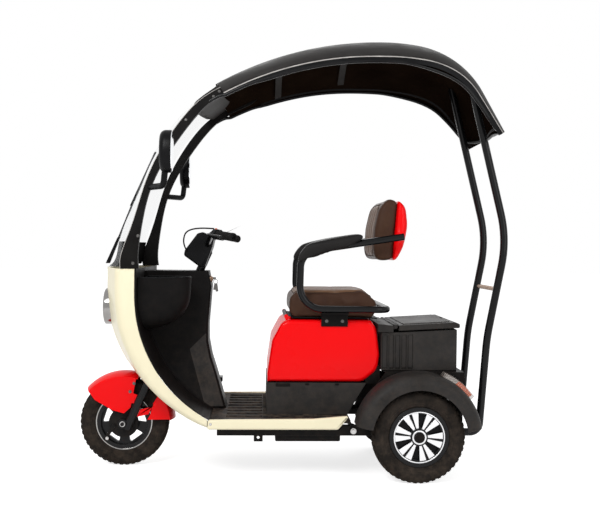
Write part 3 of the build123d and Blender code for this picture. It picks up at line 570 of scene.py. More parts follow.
def cord(name, points, radius, rings, steps, closed=False):
    """Round curve along points in millimetres, with its radius in metres."""
    curve = bpy.data.curves.new(name, "CURVE")
    curve.dimensions = "3D"
    curve.bevel_depth = radius
    curve.bevel_resolution = rings
    curve.resolution_u = steps
    curve.use_fill_caps = True
    spline = curve.splines.new("NURBS")
    spline.points.add(len(points) - 1)
    for knot, point in zip(spline.points, points):
        knot.co = (*at(*point), 1.0)
    spline.use_cyclic_u = closed
    spline.order_u = 3
    spline.use_endpoint_u = not closed
    return placed(name, curve)


def pipe(name, points, radius, label, closed=False):
    """Round trim along points in millimetres, as a mesh."""
    made = cord(name, points, radius, 3, 6, closed)
    mesh = evaluated(made)
    bpy.data.objects.remove(made)
    mesh.name = name
    mesh.materials.clear()
    mesh.materials.append(finish(label))
    mesh.shade_smooth()
    return placed(name, mesh)


# Soft goods


def evened(bm, name, voxel):
    """Object with an even mesh round a closed shape."""
    obj = placed(name, mesh_of(name, bm))
    remesh = obj.modifiers.new("Even", "REMESH")
    remesh.mode = "VOXEL"
    remesh.voxel_size = voxel
    even = evaluated(obj)
    obj.modifiers.remove(remesh)
    obj.data = even
    return obj


def smoothed(bm, rounds):
    """Evens out the points of a shape, round by round."""
    for _ in range(rounds):
        bmesh.ops.smooth_vert(bm, verts=bm.verts, factor=0.5, use_axis_x=True, use_axis_y=True,
                              use_axis_z=True)


def eased(obj, rounds):
    """Smoothed bmesh of an object, which is then removed."""
    bm = bmesh.new()
    bm.from_mesh(obj.data)
    bpy.data.objects.remove(obj)
    smoothed(bm, rounds)
    bm.normal_update()
    return bm


def filled(bm, name, voxel, cap, rounds):
    """Closed shape swelled by cloth pressure, no point moving further than cap, and then smoothed."""
    steps = 20
    obj = evened(bm, name, voxel)
    scene = bpy.context.scene
    rest = [vert.co.copy() for vert in obj.data.vertices]
    cloth = obj.modifiers.new("Filling", "CLOTH")
    cloth.settings.use_pressure = True
    cloth.settings.uniform_pressure_force = 4.0
    cloth.settings.effector_weights.gravity = 0.0
    cloth.settings.quality = 5
    scene.frame_start = 1
    scene.frame_end = steps
    for step in range(1, steps + 1):
        scene.frame_set(step)
    swelled = evaluated(obj)
    obj.modifiers.remove(cloth)
    scene.frame_set(1)
    obj.data = swelled
    for vert, start in zip(swelled.vertices, rest):
        move = vert.co - start
        if move.length > cap:
            vert.co = start + move.normalized() * cap
    return eased(obj, rounds)


def panelled(bm, share):
    """Writes the panel attribute, the share of the lighter hide at each point."""
    layer = bm.verts.layers.float.new("panel")
    for vert in bm.verts:
        vert[layer] = share(vert.co)


def ease(value, low, high):
    """Smooth step between two limits."""
    share = min(1.0, max(0.0, (value - low) / (high - low)))
    return share * share * (3 - 2 * share)


def round_loop(wide, tall, corner, spacing=0.012):
    """Points of a rounded rectangle about nought, evenly close together."""
    corners = []
    for quarter, (u, v) in enumerate(((1, 1), (-1, 1), (-1, -1), (1, -1))):
        for step in range(7):
            angle = (quarter + step / 6) * pi / 2
            arc = corner * Vector((cos(angle), sin(angle)))
            corners.append(arc + Vector((u * (wide - corner), v * (tall - corner))))
    points = []
    for first, last in zip(corners, corners[1:] + corners[:1]):
        count = max(1, round((last - first).length / spacing))
        points += [first.lerp(last, step / count) for step in range(count)]
    return points


def laid(bm, points, way):
    """Points dropped along a direction onto a shape, in millimetres."""
    tree = BVHTree.FromBMesh(bm)
    found = [tree.ray_cast(point, way)[0] for point in points]
    return [spot / MM for spot in found if spot]


# Operators


class TRICYCLE_OT_stage(bpy.types.Operator):
    """Pale floor, soft lamps, white surroundings and the camera"""
    bl_idname = "tricycle.stage"
    bl_label = "Stage"

    FOCAL = 873  # pixels, for a picture that is WIDE pixels across
    WIDE = 600
    SENSOR = 36.0
    ASIDE, BELOW = 40, 13  # pixels that the aim lies off the level line across the object
    ROLL = 0.62
    EYE = (0.135, 3.7144, 0.9216)
    LAMPS = [
        # name, place, aim, size, power
        ("key", (1.7, 3.1, 3.0), (0.0, 0.1, 0.7), 1.4, 88.0),
        ("fill", (-2.2, 2.8, 1.8), (-0.2, 0.0, 0.6), 2.0, 26.0),
        ("back", (-0.4, -3.0, 2.8), (0.0, 0.0, 0.9), 2.2, 30.0),
    ]

    def execute(self, context):
        scene = context.scene
        scene.view_settings.view_transform = "Standard"
        world = bpy.data.worlds.new("Surroundings")
        world.use_nodes = True
        scene.world = world
        tree = world.node_tree
        tree.nodes.clear()
        seen = added(tree, "Background", color=WHITE, strength=1.0)
        lit = added(tree, "Background", color=WHITE, strength=0.50)
        choice = joined(tree, "MixShader", self.seen_rays(tree), lit.outputs[0], seen.outputs[0])
        added(tree, "OutputWorld", surface=choice.outputs[0])
        self.floor()
        self.lamps()
        self.camera(scene)
        return {"FINISHED"}

    def seen_rays(self, tree):
        """One for camera, glossy and transmission rays."""
        path = added(tree, "LightPath")
        total = path.outputs["Is Camera Ray"]
        for label in ("Is Glossy Ray", "Is Transmission Ray"):
            total = combined(tree, "MAXIMUM", total, path.outputs[label])
        return total

    def floor(self):
        bm = bmesh.new()
        bmesh.ops.create_grid(bm, x_segments=1, y_segments=1, size=30.0)
        mesh = mesh_of("floor", bm)
        material = bpy.data.materials.new("pale_floor")
        material.use_nodes = True
        tree = material.node_tree
        tree.nodes.clear()
        matt = added(tree, "BsdfDiffuse", color=(0.80, 0.80, 0.80))
        glow = added(tree, "Emission", strength=combined(tree, "MULTIPLY", self.seen_rays(tree), 0.72))
        both = joined(tree, "AddShader", matt.outputs[0], glow.outputs[0])
        added(tree, "OutputMaterial", surface=both.outputs[0])
        mesh.materials.append(material)
        placed("floor", mesh)

    def lamps(self):
        for name, place, aim, size, power in self.LAMPS:
            lamp = bpy.data.lights.new(name, "AREA")
            lamp.size = size
            lamp.energy = power
            obj = placed(name, lamp)
            obj.location = place
            obj.rotation_euler = (Vector(aim) - Vector(place)).to_track_quat("-Z", "Y").to_euler()

    def camera(self, scene):
        yaw = atan(self.ASIDE / self.FOCAL)
        pitch = atan(self.BELOW / self.FOCAL)
        ahead = Vector((-sin(yaw) * cos(pitch), -cos(yaw) * cos(pitch), -sin(pitch)))
        right = ahead.cross(Vector(UP)).normalized()
        up = right.cross(ahead)
        level = Matrix((right, up, -ahead)).transposed().to_4x4()
        data = bpy.data.cameras.new("camera")
        data.sensor_width = self.SENSOR
        data.sensor_fit = "HORIZONTAL"
        data.lens = self.SENSOR * self.FOCAL / self.WIDE
        scene.camera = placed("camera", data)
        roll = Matrix.Rotation(radians(self.ROLL), 4, "Z")
        scene.camera.matrix_world = Matrix.Translation(self.EYE) @ (level @ roll)


class TRICYCLE_OT_tyres(bpy.types.Operator):
    """Tyres with a moulded sidewall and six rows of tread blocks"""
    bl_idname = "tricycle.tyres"
    bl_label = "Tyres"

    # radius and distance from the middle, in millimetres, from the bead to the crown
    SIDE = [(107, 29.4), (118.6, 29.4), (121, 32.5), (127, 35.6), (129, 35.4), (131, 36.8), (136, 37.6),
            (137.5, 37.2), (139, 38.0), (150, 38.7), (160, 38.2), (167, 36.6), (173, 32.5), (177.4, 25),
            (179.2, 13), (179.4, 0)]
    ROWS = [
        # across, reach, width, length, tilt, share of a step
        (9.0, 183.9, 13.5, 17.0, 8.0, 0.0),
        (-9.0, 183.9, 13.5, 17.0, -8.0, 0.5),
        (25.0, 180.6, 12.5, 15.0, 40.0, 0.5),
        (-25.0, 180.6, 12.5, 15.0, -40.0, 0.0),
        (34.6, 171.0, 9.0, 9.0, 66.0, 0.0),
        (-34.6, 171.0, 9.0, 9.0, -66.0, 0.5),
    ]
    BLOCKS = 46

    def execute(self, context):
        places = [("front_tyre", FRONT_AXLE)]
        places += [("rear_tyre_" + side, axle) for side, axle in REAR_AXLES.items()]
        ring = self.SIDE + [(r, -a) for r, a in reversed(self.SIDE[:-1])]
        for node, centre in places:
            bm = bmesh.new()
            spun(bm, ring, centre, LEFT, 120, True, UP)
            closed_up(bm)
            self.blocks(bm, centre)
            obj = piece("tread_" + node, bm, "tyre_rubber", angle=40)
            rounded(obj, 0.0007, 1, 50)
            carried(obj, BODY_OF[node], SLOT_OF[node], node)
        return {"FINISHED"}

    def blocks(self, bm, centre):
        _, sizes = settings()
        for across, reach, width, length, tilt, share in self.ROWS:
            turn = Matrix.Rotation(share * 2 * pi / self.BLOCKS, 4, "Y")
            lean = Matrix.Rotation(radians(-tilt), 4, "X")
            top = Matrix.Translation((0, across * MM, reach * MM)) @ lean
            sunk = Matrix.Translation((0, 0, -sizes.tread))
            size = Matrix.Diagonal((length * MM, width * MM, 2 * sizes.tread, 1))
            matrix = Matrix.Translation(centre) @ turn @ top @ sunk @ size
            verts = bmesh.ops.create_cube(bm, size=1.0, matrix=matrix)["verts"]
            ring_copies(bm, verts, centre, LEFT, self.BLOCKS)


class TRICYCLE_OT_rims(bpy.types.Operator):
    """Cast rims: silver spokes with black pockets at the rear, black at the front"""
    bl_idname = "tricycle.rims"
    bl_label = "Rims"

    # profiles of radius and distance from the wheel's middle, in millimetres
    OUTER_RING = [(96.6, 33.0), (96.6, 35.2), (97.6, 35.8), (100.4, 35.8), (101.4, 34.9), (101.4, 33.0)]
    HUB_RING = [(20.8, 33.0), (20.8, 36.4), (22.0, 37.0), (27.0, 37.0), (28.2, 36.0), (28.2, 33.0)]
    BACKING = [(36, 14.0), (36, 15.4), (96.6, 15.4), (96.6, 14.0)]
    CAP = [(0, 44.6), (9, 44.4), (12, 43.6), (12.6, 42.4), (19.2, 42.4), (20.6, 41.4), (20.6, 36), (0, 36)]
    LIP = [(112.5, 33.6), (113.5, 34.7), (117.2, 34.7), (118.1, 33.8), (118.1, 32.8), (112.5, 32.8)]
    VALVE = [(0, -6), (4.6, -6), (4.6, 2), (3.2, 4), (3.2, 14), (4.2, 14.5), (4.2, 22), (3.4, 23), (0, 23)]

    def execute(self, context):
        dress(front_rim=("rim_black", 0.0015))
        for out, (side, centre) in zip(SIDES, REAR_AXLES.items()):
            dressed("rear_rim_" + side, "rim_black", width=0.0012)
            self.trim(side, centre, out)
        lips = [(self.LIP, FRONT_AXLE, (0, out, 0), 96, True, UP) for out in SIDES]
        turned("front_lip_rings", lips, "chrome", "front_wheel", "bright_steel", angle=60)
        return {"FINISHED"}

    def trim(self, side, centre, out):
        body = "rear_wheel_" + side
        axis = (0, out, 0)
        rings = [(ring, centre, axis, 72, True, UP) for ring in (self.OUTER_RING, self.HUB_RING)]
        turned("bright_rings_" + side, rings, "rim_silver", body, "bright_steel", angle=60)
        turned("pocket_backing_" + side, [(self.BACKING, centre, axis, 72, True, UP)], "deep_black", body,
               "rim_alloy", width=0.0004)
        self.petals(side, centre, out)
        turned("hub_cap_" + side, [(self.CAP, centre, axis, 48, False, UP)], "satin_black", body, "rim_alloy")
        angle = radians(67)
        foot = centre + Vector((cos(angle), 0, sin(angle))) * 0.084 + Vector((0, out * 0.028, 0))
        lean = Vector((-cos(angle) * 0.5, out * 0.8, -sin(angle) * 0.5)).normalized()
        turned("valve_" + side, [(self.VALVE, foot, lean, 16)], "grip_rubber", body, "grip_rubber")

    def petals(self, side, centre, out):
        """Two leaning petals on each of six spokes, narrow at the hub."""
        bm = bmesh.new()
        for lean in (-11.6, 11.6):
            verts = box_at(bm, centre / MM + Vector((63, out * 26.2, 0)), (64, 2.4, 27))
            narrow = [vert for vert in verts if vert.co.x < centre.x + 0.063]
            bmesh.ops.scale(bm, vec=(1, 1, 0.3), space=Matrix.Translation(-centre), verts=narrow)
            turn = Matrix.Rotation(radians(-8 - lean), 4, "Y")
            bmesh.ops.rotate(bm, cent=centre, matrix=turn, verts=verts)
            ring_copies(bm, verts, centre, LEFT, 6)
        fitted("spoke_petals_" + side, closed_up(bm), "rim_silver", "rear_wheel_" + side, "bright_steel",
               width=0.0008)


class TRICYCLE_OT_underframe(bpy.types.Operator):
    """Rails, beams, rear axle, dampers and the box under the floor"""
    bl_idname = "tricycle.underframe"
    bl_label = "Underframe"

    def execute(self, context):
        for node in ("frame_rails", "frame_beams", "head_tube", "rear_axle"):
            dressed(node, "chassis_black", width=0.0015)
        dress(underfloor_box=("chassis_black", 0.002))
        self.springs()
        nuts = ((-245, 249.4, 192, 9.0), (320, 337.8, 236, 4.0))
        bolted("pivot_nuts", nuts, "bright_steel", "chassis", "bright_steel", 0.0006)
        return {"FINISHED"}

    def springs(self):
        low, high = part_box("rear_dampers")
        tall = (high.z - low.z) / MM
        post = [(0, 0), (20, 0), (20, 6), (12, 8), (12, tall - 8), (20, tall - 6), (20, tall), (0, tall)]
        turns = []
        for y in (0.12, -0.12):
            foot = Vector((-0.495, y, low.z))
            turns.append((post, foot, UP, 32))
            for coil in range(5):
                turns.append((wire(18.5, 14 + coil * (tall - 28) / 4, 3.2, 8), foot, UP, 32, True))
        turned("damper_springs", turns, "bright_steel", "chassis", "bright_steel", "rear_dampers")


class TRICYCLE_OT_front_end(bpy.types.Operator):
    """Fork, front fender, brake plate and axle nuts"""
    bl_idname = "tricycle.front_end"
    bl_label = "Front end"

    def execute(self, context):
        dress(fork=("tube_black", 0.0015), front_fender=("red_gloss", 0.0012),
              front_brake_plate=("chassis_black", 0.0015))
        bolted("axle_nuts", [(697, 84, 185, 8.5)], "bright_steel", "steering", "bright_steel", 0.0006,
               lone=[((764, 56, 120), LEFT, 5.0)])
        bolts = ((652, 72.2, 352, 5.0), (668, 72.2, 318, 5.0))
        bolted("fender_bolts", bolts, "bolt_steel", "steering", "frame_steel", 0.0006)
        return {"FINISHED"}


class TRICYCLE_OT_handlebar(bpy.types.Operator):
    """Handlebar with its cover, ribbed grips, switch pods, levers and brake cable"""
    bl_idname = "tricycle.handlebar"
    bl_label = "Handlebar"

    END = Vector((238, 330, 960))
    BEND = Vector((330, 182, 976))
    GRIP = 120  # length of a grip
    PLUG = [(0, -6), (10.6, -6), (10.6, -0.4), (9.4, 0), (0, 0)]
    BUTTON = [(0, 24), (4, 24), (5, 23), (5, 17), (0, 17)]
    ROUTE = [(319.6, 211.6, 994.8), (425, 180, 1004), (456, 120, 940), (424, 40, 878), (392, 40, 872)]

    def execute(self, context):
        dress(handlebar=("tube_black", 0.0008), handlebar_cover=("deep_black", 0.003),
              switch_pods=("deep_black", 0.003), brake_levers=("tube_black", 0.001))
        self.grips()
        self.switches()
        self.cable()
        return {"FINISHED"}

    def spots(self, inwards):
        """Points in millimetres at a distance from the bar's ends, and the ways outwards along it."""
        along = (self.END - self.BEND).normalized()
        for out in SIDES:
            way = Vector((along.x, out * along.y, along.z))
            yield Vector((self.END.x, out * self.END.y, self.END.z)) - way * inwards, way

    def grips(self):
        profile = [(11.6, 0), (17, 0), (17, 8)]
        for index in range(14):
            low = 10 + index * 6.6
            profile += [(14.4, low), (14.4, low + 1.8), (16.2, low + 2.8), (16.2, low + 5.4)]
        profile += [(14.8, 106), (17, 108), (17, 118), (15, 119.8), (11.6, 119.8)]
        turns = [(profile, spot * MM, way, 40, True) for spot, way in self.spots(self.GRIP)]
        turned("ribbed_grips", turns, "grip_rubber", "steering", "grip_rubber", "handlebar_grips", angle=50)
        turns = [(self.PLUG, spot * MM, way, 24) for spot, way in self.spots(0)]
        turned("bar_end_plugs", turns, "satin_black", "steering", "grip_rubber")

    def switches(self):
        turns = [(self.BUTTON, spot * MM, UP, 20) for spot, _ in self.spots(140)]
        turned("switch_buttons", turns, "orange_plastic", "steering", "grip_rubber")
        lean = facing((-0.6, 0, 0.8))
        keys = [(spot + Vector((-16, 0, 15)) + way * offset, size, lean) for spot, way in self.spots(130)
                for offset, size in ((0, (12, 9, 6)), (-12, (8, 8, 5)))]
        boxed("switch_keys", keys, "satin_black", "steering", "grip_rubber", width=0.001)

    def cable(self):
        obj = cord("hand_brake_cable", self.ROUTE, 0.003, 4, 24)
        obj.data.materials.append(finish("grip_rubber"))
        carried(obj, "steering", "grip_rubber", "brake_cable")


class TRICYCLE_OT_front_body(bpy.types.Operator):
    """Front shield, leg shield, pockets, pedal and headlight"""
    bl_idname = "tricycle.front_body"
    bl_label = "Front body"

    REFLECTOR = [(0, 3), (8, 3), (8, 6), (14, 6.5), (30, 11), (46, 20), (58, 31), (63.8, 40), (63.8, 1.0),
                 (0, 1.0)]
    BULB = [(0, 26), (7, 25), (9, 20), (9, 6), (0, 6)]
    LOCK = [(0, -2), (15, -2), (15, 5), (12, 8), (8, 9), (8, 12), (0, 12)]

    def execute(self, context):
        dress(front_shield=("ivory_gloss", 0.0012))
        self.leg_shield()
        dress(storage_pockets=("satin_black", 0.0014), brake_pedal=("tube_black", 0.0015))
        self.headlight()
        self.key_switch()
        self.pocket_lips()
        return {"FINISHED"}

    def leg_shield(self):
        corner = at(423, 0, 497)
        cuts = ((corner, Vector((1, 0, 1)).normalized()), (corner, Vector((196, 0, -54)).normalized()))

        def patched(face):
            """Tells whether a face is on the column's side and behind both cuts."""
            spot = face.calc_center_median()
            column = abs(face.normal.y) > 0.9 and abs(abs(spot.y) - 0.075) < 0.002
            return column and all((spot - point).dot(normal) < 0 for point, normal in cuts)

        # Faces on the column's sides behind both cuts take a paler dusty black, a lighter patch on the lower
        # column.
        dressed("leg_shield", "satin_black", "pale_dusty_black", width=0.0015, choose=patched, cuts=cuts)

    def headlight(self):
        low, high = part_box("headlight_bezel")
        centre = Vector((low.x, 0, 0.668))
        deep = (high.x - low.x) / MM
        ring = [(64, deep - 10), (66, deep - 3), (69, deep), (72, deep), (75.5, deep - 2.5), (76.8, deep - 7),
                (76.8, 4), (64, 4)]
        turned("headlight_ring", [(ring, centre, AHEAD, 72, True)], "chrome", "chassis", "chrome",
               "headlight_bezel", angle=50)
        turned("headlight_reflector", [(self.REFLECTOR, centre, AHEAD, 64)], "chrome", "chassis", "chrome",
               angle=60)
        turned("headlight_bulb", [(self.BULB, centre, AHEAD, 24)], "deep_black", "chassis", "lamp_glass")
        last = (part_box("headlight_lens")[1].x - low.x) / MM
        dome = [(0, last - 0.2), (20, last - 0.9), (40, last - 3.6), (54, last - 7.6), (63.4, last - 12.5),
                (63.4, last - 16), (54, last - 11), (40, last - 7.0), (20, last - 4.3), (0, last - 3.6)]
        turned("headlight_dome", [(dome, centre, AHEAD, 64)], "lamp_glass", "chassis", "lamp_glass",
               "headlight_lens", angle=50)

    def key_switch(self):
        turned("key_switch", [(self.LOCK, at(343, 40, 788), (-1, 0, 0.2), 32)], "worn_brass", "chassis",
               "bright_steel")
        bm = bmesh.new()
        box_at(bm, (327, 40, 791), (16, 2.2, 9))
        spun(bm, wire(9, 0, 1.2, 6), at(320, 40, 777), LEFT, 28, True)
        box_at(bm, (316, 40, 752), (11, 2.0, 34), Matrix.Rotation(radians(8), 4, "Y"))
        box_at(bm, (323, 43, 756), (9, 2.0, 28), Matrix.Rotation(radians(-10), 4, "Y"))
        fitted("keys", closed_up(bm), "bolt_steel", "chassis", "bright_steel", width=0.0007)

    def pocket_lips(self):
        turns = [radians(-76 + step * 152 / 12) for step in range(13)]
        for label, out in zip(("left", "right"), SIDES):
            points = [(660 - 250 * cos(turn), out * (188 + 110 * sin(turn)), 798.4) for turn in turns]
            carried(pipe("pocket_lip_" + label, points, 0.0034, "deep_black"), "chassis", "black_plastic")


class TRICYCLE_OT_canopy(bpy.types.Operator):
    """Pillars, windscreen, wiper, roof with its liner, posts and mirrors"""
    bl_idname = "tricycle.canopy"
    bl_label = "Canopy"

    PILLAR_BOLTS = [(322, 295.2, 1508, 4.0), (300, 294.6, 1528, 4.0), (428, 301.0, 1414, 4.0),
                    (604, 337.4, 962, 4.5), (622, 339.6, 856, 4.5)]
    STATIONS = [277, 266, 250, 220, 170, 120, 50, -50, -150, -250, -350, -450, -540, -640, -730, -800]

    def execute(self, context):
        self.pillars()
        dress(windshield_lower_panel=("satin_black", 0.0012), windshield_header=("dusty_black", 0.002),
              windshield=("clear_glass", 0.0), wiper=("deep_black", 0.0012))
        self.roof()
        self.edge_bead()
        self.header_seal()
        dress(roof_ribs=("pale_dusty_black", 0.0015), rear_posts=("tube_black", 0.0008),
              rear_post_crossbar=("worn_brass", 0.0008), mirrors=("deep_black", 0.002),
              mirror_glass=("mirror_face", 0.0006))
        return {"FINISHED"}

    def roof(self):
        top, under, rim = range(3)

        def lies(face):
            """Number of the finish of a face on the roof's top, underside or rim."""
            if abs(face.normal.z) < 0.16:
                return rim
            return top if face.normal.z > 0 else under

        # The light grey strip where the top meets the rim is a painted highlight line along the roof's edge.
        dressed("roof_canopy", "roof_black", "roof_liner", "deep_black", "highlight_and_lamp_grey", width=0.0, choose=lies,
                strip=(lambda face: lies(face) == top, lambda face: lies(face) == rim, 0.0028, 3))

    def edge_bead(self):
        """Bead under the roof's edge, from one pillar round the back to the other."""
        def half(x):
            """Half the roof's width at a place along it."""
            return 350 - max(0, x + 330) / 15 - max(0, -540 - x) * 0.337

        side = [(x, half(x) - 6) for x in self.STATIONS]
        tail = [(-864, y) for y in range(180, -181, -60)]
        plan = side + tail + [(x, -y) for x, y in reversed(side)]
        bm = cad_copy("roof_canopy")
        points = laid(bm, [at(x, y, 1200) for x, y in plan], Vector(UP))
        bm.free()
        points = [(340, 290, 1488), (306, 294, 1510), *points, (306, -294, 1510), (340, -290, 1488)]
        carried(pipe("roof_edge_bead", points, 0.007, "tube_black"), "chassis", "black_plastic")

    def header_seal(self):
        """Sheet that fills the crescent between the header and the roof's arch."""
        x, half, crown, drop, foot = 312, 150, 1597.4, 27.0, 1569
        top = [(x, y, crown - drop * (y / 160) ** 2) for y in range(-half, half + 1, 15)]
        bm = bmesh.new()
        sheet(bm, top + [(x, half, foot), (x, -half, foot)], 0.006)
        fitted("header_seal", closed_up(bm), "deep_black", "chassis", "black_plastic", width=0.0008)

    def pillars(self):
        def outside(face):
            return face.normal.y * face.calc_center_median().y > 0 and abs(face.normal.y) > 0.7

        def before(face):
            return abs(face.normal.y) < 0.6 and face.normal.x > 0.2

        # The light grey strip where the outer side meets the forward faces is a painted highlight line along
        # the pillars' front edge.
        dressed("pillars", "pillar_grey", "highlight_and_lamp_grey", width=0.0, strip=(outside, before, 0.0026, 1))
        bolted("pillar_bolts", self.PILLAR_BOLTS, "bolt_steel", "chassis", "frame_steel", 0.0005)


class TRICYCLE_OT_floor(bpy.types.Operator):
    """Ribbed floor mat and ivory sills"""
    bl_idname = "tricycle.floor"
    bl_label = "Floor"

    def execute(self, context):
        dress(floor_deck=("mat_rubber", 0.0015))
        dressed("side_sills", "ivory_gloss", width=0.008, segments=4)
        ribs = [((8, step * 31.0, 251.0), (216, 9, 4)) for step in range(-9, 10)]
        boxed("mat_ribs", ribs, "mat_rubber", "chassis", "mat_rubber", width=0.0012)
        seals = [((327, out * 192, 252.4), (5, 232, 6.4)) for out in SIDES]
        boxed("mat_edge_seals", seals, "deep_black", "chassis", "black_plastic", width=0.0016, segments=3)
        return {"FINISHED"}


class TRICYCLE_OT_seat_base(bpy.types.Operator):
    """Red seat box on its black skirt, with latches, brackets and closing sheets"""
    bl_idname = "tricycle.seat_base"
    bl_label = "Seat base"

    CLOSER = [(-357, 374), (-297, 374), (-297, 390), (-338, 446), (-357, 446)]

    def execute(self, context):
        dress(seat_box=("red_gloss", 0.0015), seat_skirt=("dusty_black", 0.003),
              battery_block=("chassis_black", 0.003), armrest_brackets=("satin_black", 0.0015),
              seat_pan=("satin_black", 0.001))
        bolts = [(x, 206.4, 628, 5.0) for x in (-200, -136)]
        bolted("bracket_bolts", bolts, "bolt_steel", "chassis", "frame_steel", 0.0005)
        latches = []
        for out in SIDES:
            latches.append(((38, out * 214.6, 371), (58, 5, 12)))
            latches += [((x, out * 214.0, 374), (16, 3, 8)) for x in (-60, -180)]
        boxed("box_latches", latches, "satin_black", "chassis", "black_plastic", width=0.0022, segments=3)
        bm = bmesh.new()
        for out in SIDES:
            sheet(bm, [(x, out * 187, z) for x, z in self.CLOSER], 0.003)
        fitted("side_closers", closed_up(bm), "satin_black", "chassis", "black_plastic", width=0.0006)
        return {"FINISHED"}


class TRICYCLE_OT_cushions(bpy.types.Operator):
    """Seat and backrest cushions, swelled and then sewn"""
    bl_idname = "tricycle.cushions"
    bl_label = "Cushions"

    def execute(self, context):
        self.seat()
        self.back()
        bm = eased(evened(cad_copy("backrest_shell"), "shell_even", 0.005), 50)
        fitted("backrest_shell_smooth", bm, "red_gloss", "chassis", "red_plastic", "backrest_shell",
               angle=180)
        return {"FINISHED"}

    def stuffed(self, node, shrink, about, cap, rounds):
        """Filled copy of a cushion's node, first made smaller about a point."""
        _, sizes = settings()
        bm = cad_copy(node)
        bmesh.ops.scale(bm, vec=shrink, space=Matrix.Translation(-about), verts=bm.verts)
        return filled(bm, node + "_filling", sizes.voxel, cap, rounds)

    def press(self, bm, chosen, push, inside, pitch, channel):
        """Presses the seam round the panel, and the panel's channels, into the chosen points."""
        _, sizes = settings()
        for vert in bm.verts:
            if chosen(vert):
                way = push(vert) * sizes.seam
                vert.co -= way * (1 - ease(abs(inside(vert.co)), 0.0, 0.006))
                row = abs(((vert.co.y / pitch) + 0.5) % 1.0 - 0.5) * pitch
                vert.co -= way * ease(inside(vert.co), 0.0, 0.008) * (1 - ease(row, 0.0, channel))

    def sew(self, bm, name, body, starts, way):
        """Cushion and the piping that lies on it along a way from the starts."""
        _, sizes = settings()
        points = laid(bm, starts, way)
        piping = pipe(name + "_piping", points, sizes.piping, "thread", closed=True)
        carried(piping, body, "brown_leather")
        obj = piece(name + "_cushion_sewn", bm, "brown_hide", angle=180)
        smooth = obj.modifiers.new("Smooth", "SUBSURF")
        smooth.levels = 1
        smooth.render_levels = 1
        carried(obj, body, "brown_leather", name + "_cushion")

    def seat(self):
        ends, sides = 0.030, 0.026  # margins round the panel
        bm = self.stuffed("seat_cushion", (0.985, 0.965, 0.97), at(-163, 0, 642), 0.010, 5)
        low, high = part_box("seat_cushion")
        top = max(v.co.z for v in bm.verts)

        def inside(co):
            return min(min(co.x - low.x, high.x - co.x) - ends, high.y - abs(co.y) - sides)

        self.press(bm, lambda vert: vert.co.z > top - 0.035, lambda vert: Vector(UP), inside, 0.058, 0.010)
        panelled(bm, lambda co: ease(inside(co), -0.001, 0.001) if co.z > top - 0.04 else 0.0)
        middle = (low + high) / 2
        loop = round_loop((high.x - low.x) / 2 - ends, high.y - sides, 0.030)
        starts = [Vector((middle.x + u, v, top + 0.1)) for u, v in loop]
        self.sew(bm, "seat", "seat", starts, Vector((0, 0, -1)))

    def back(self):
        ends, sides = 0.026, 0.062  # margins round the panel
        bm = self.stuffed("backrest_cushion", (0.97, 0.965, 0.97), at(-385, 0, 1000), 0.005, 20)
        low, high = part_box("backrest_cushion")

        def inside(co):
            return min(min(co.z - low.z, high.z - co.z) - ends, high.y - abs(co.y) - sides)

        self.press(bm, lambda vert: vert.normal.x > 0.2, lambda vert: vert.normal, inside, 0.064, 0.009)
        panelled(bm, lambda co: 0.75 * ease(inside(co), -0.001, 0.001) if co.x > -0.372 else 0.0)
        middle = (low + high) / 2
        loop = round_loop(high.y - sides, (high.z - low.z) / 2 - ends, 0.045)
        starts = [Vector((high.x + 0.1, u, middle.z + v)) for u, v in loop]
        self.sew(bm, "backrest", "chassis", starts, Vector((-1, 0, 0)))


class TRICYCLE_OT_armrests(bpy.types.Operator):
    """Armrest loop and padded arms"""
    bl_idname = "tricycle.armrests"
    bl_label = "Armrests"

    def execute(self, context):
        dress(armrest_frame=("tube_black", 0.0008))
        bm = filled(cad_copy("armrest_pads"), "pad_filling", 0.004, 0.006, 14)
        longer, lower = 0.008, 0.010  # at the pads' front
        for vert in bm.verts:
            front = ease(vert.co.x, -0.150, -0.045)
            vert.co.x += longer * front
            vert.co.z -= lower * front * ease(-vert.normal.z, -0.1, 0.5)
        smoothed(bm, 4)
        panelled(bm, lambda co: 0.0)
        obj = fitted("armrest_pads_soft", bm, "black_hide", "chassis", "black_leather", "armrest_pads",
                     angle=180)
        return {"FINISHED"}


class TRICYCLE_OT_trunk(bpy.types.Operator):
    """Trunk box, fixed cover and hinged lid"""
    bl_idname = "tricycle.trunk"
    bl_label = "Trunk"

    def execute(self, context):
        dress(trunk_box=("dusty_black", 0.003), trunk_front_cover=("dusty_black", 0.003),
              trunk_lid=("dusty_black", 0.004), rear_body=("satin_black", 0.0015))
        bm = bmesh.new()
        box_at(bm, (-545, 0, 620.6), (190, 372, 5), Matrix.Rotation(radians(3.46), 4, "Y"))
        bolt_at(bm, (-642, 0, 626.4), (-0.06, 0, 1), 6.0, 12)
        fitted("lid_panel", bm, "dusty_black", "trunk_cover", "black_plastic", width=0.002, segments=3)
        return {"FINISHED"}


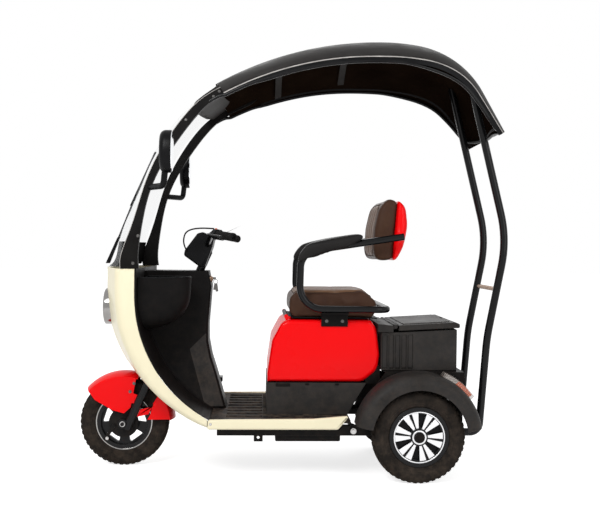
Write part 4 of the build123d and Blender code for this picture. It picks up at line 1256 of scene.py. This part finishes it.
class TRICYCLE_OT_rear_fenders(bpy.types.Operator):
    """Rear fenders and their lamps"""
    bl_idname = "tricycle.rear_fenders"
    bl_label = "Rear fenders"

    def execute(self, context):
        dress(rear_fenders=("dusty_black", 0.0014), tail_lights=("lamp_glass", 0.002))
        low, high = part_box("tail_lights")
        middle = (low + high) / 2
        bm = cad_copy("tail_lights")
        for out in SIDES:
            verts = [vert for vert in bm.verts if vert.co.y * out > 0]
            centre = Vector((middle.x, out * 0.289, middle.z))
            bmesh.ops.scale(bm, vec=(0.84, 0.76, 0.84), space=Matrix.Translation(-centre), verts=verts)
        for face in bm.faces:
            face.material_index = 0 if face.calc_center_median().z > middle.z + 0.012 else 1
        carried(piece("lamp_cores", bm, "highlight_and_lamp_grey", "orange_plastic"), "chassis", "tail_lens")
        return {"FINISHED"}


class TRICYCLE_PT_panel(bpy.types.Panel):
    """Buttons for the pieces of the tricycle"""
    bl_idname = "TRICYCLE_PT_panel"
    bl_label = "Tricycle"
    bl_space_type = "VIEW_3D"
    bl_region_type = "UI"
    bl_category = "Tricycle"

    def draw(self, context):
        for group in (context.scene.tricycle_colours, context.scene.tricycle_sizes):
            for key in group.bl_rna.properties.keys():
                if key not in ("rna_type", "name"):
                    self.layout.prop(group, key)
        for operator in OPERATORS:
            self.layout.operator(operator.bl_idname)


OPERATORS = (
    TRICYCLE_OT_stage, TRICYCLE_OT_tyres, TRICYCLE_OT_rims, TRICYCLE_OT_underframe, TRICYCLE_OT_front_end,
    TRICYCLE_OT_handlebar, TRICYCLE_OT_front_body, TRICYCLE_OT_canopy, TRICYCLE_OT_floor,
    TRICYCLE_OT_seat_base, TRICYCLE_OT_cushions, TRICYCLE_OT_armrests, TRICYCLE_OT_trunk,
    TRICYCLE_OT_rear_fenders,
)
CLASSES = (TricycleColours, TricycleSizes, *OPERATORS, TRICYCLE_PT_panel)


def register():
    for cls in CLASSES:
        bpy.utils.register_class(cls)
    bpy.types.Scene.tricycle_colours = PointerProperty(type=TricycleColours)
    bpy.types.Scene.tricycle_sizes = PointerProperty(type=TricycleSizes)


def unregister():
    del bpy.types.Scene.tricycle_sizes
    del bpy.types.Scene.tricycle_colours
    for cls in reversed(CLASSES):
        bpy.utils.unregister_class(cls)


def main():
    register()
    for operator in OPERATORS:
        group, name = operator.bl_idname.split(".")
        getattr(getattr(bpy.ops, group), name)()


if __name__ == "__main__":
    main()
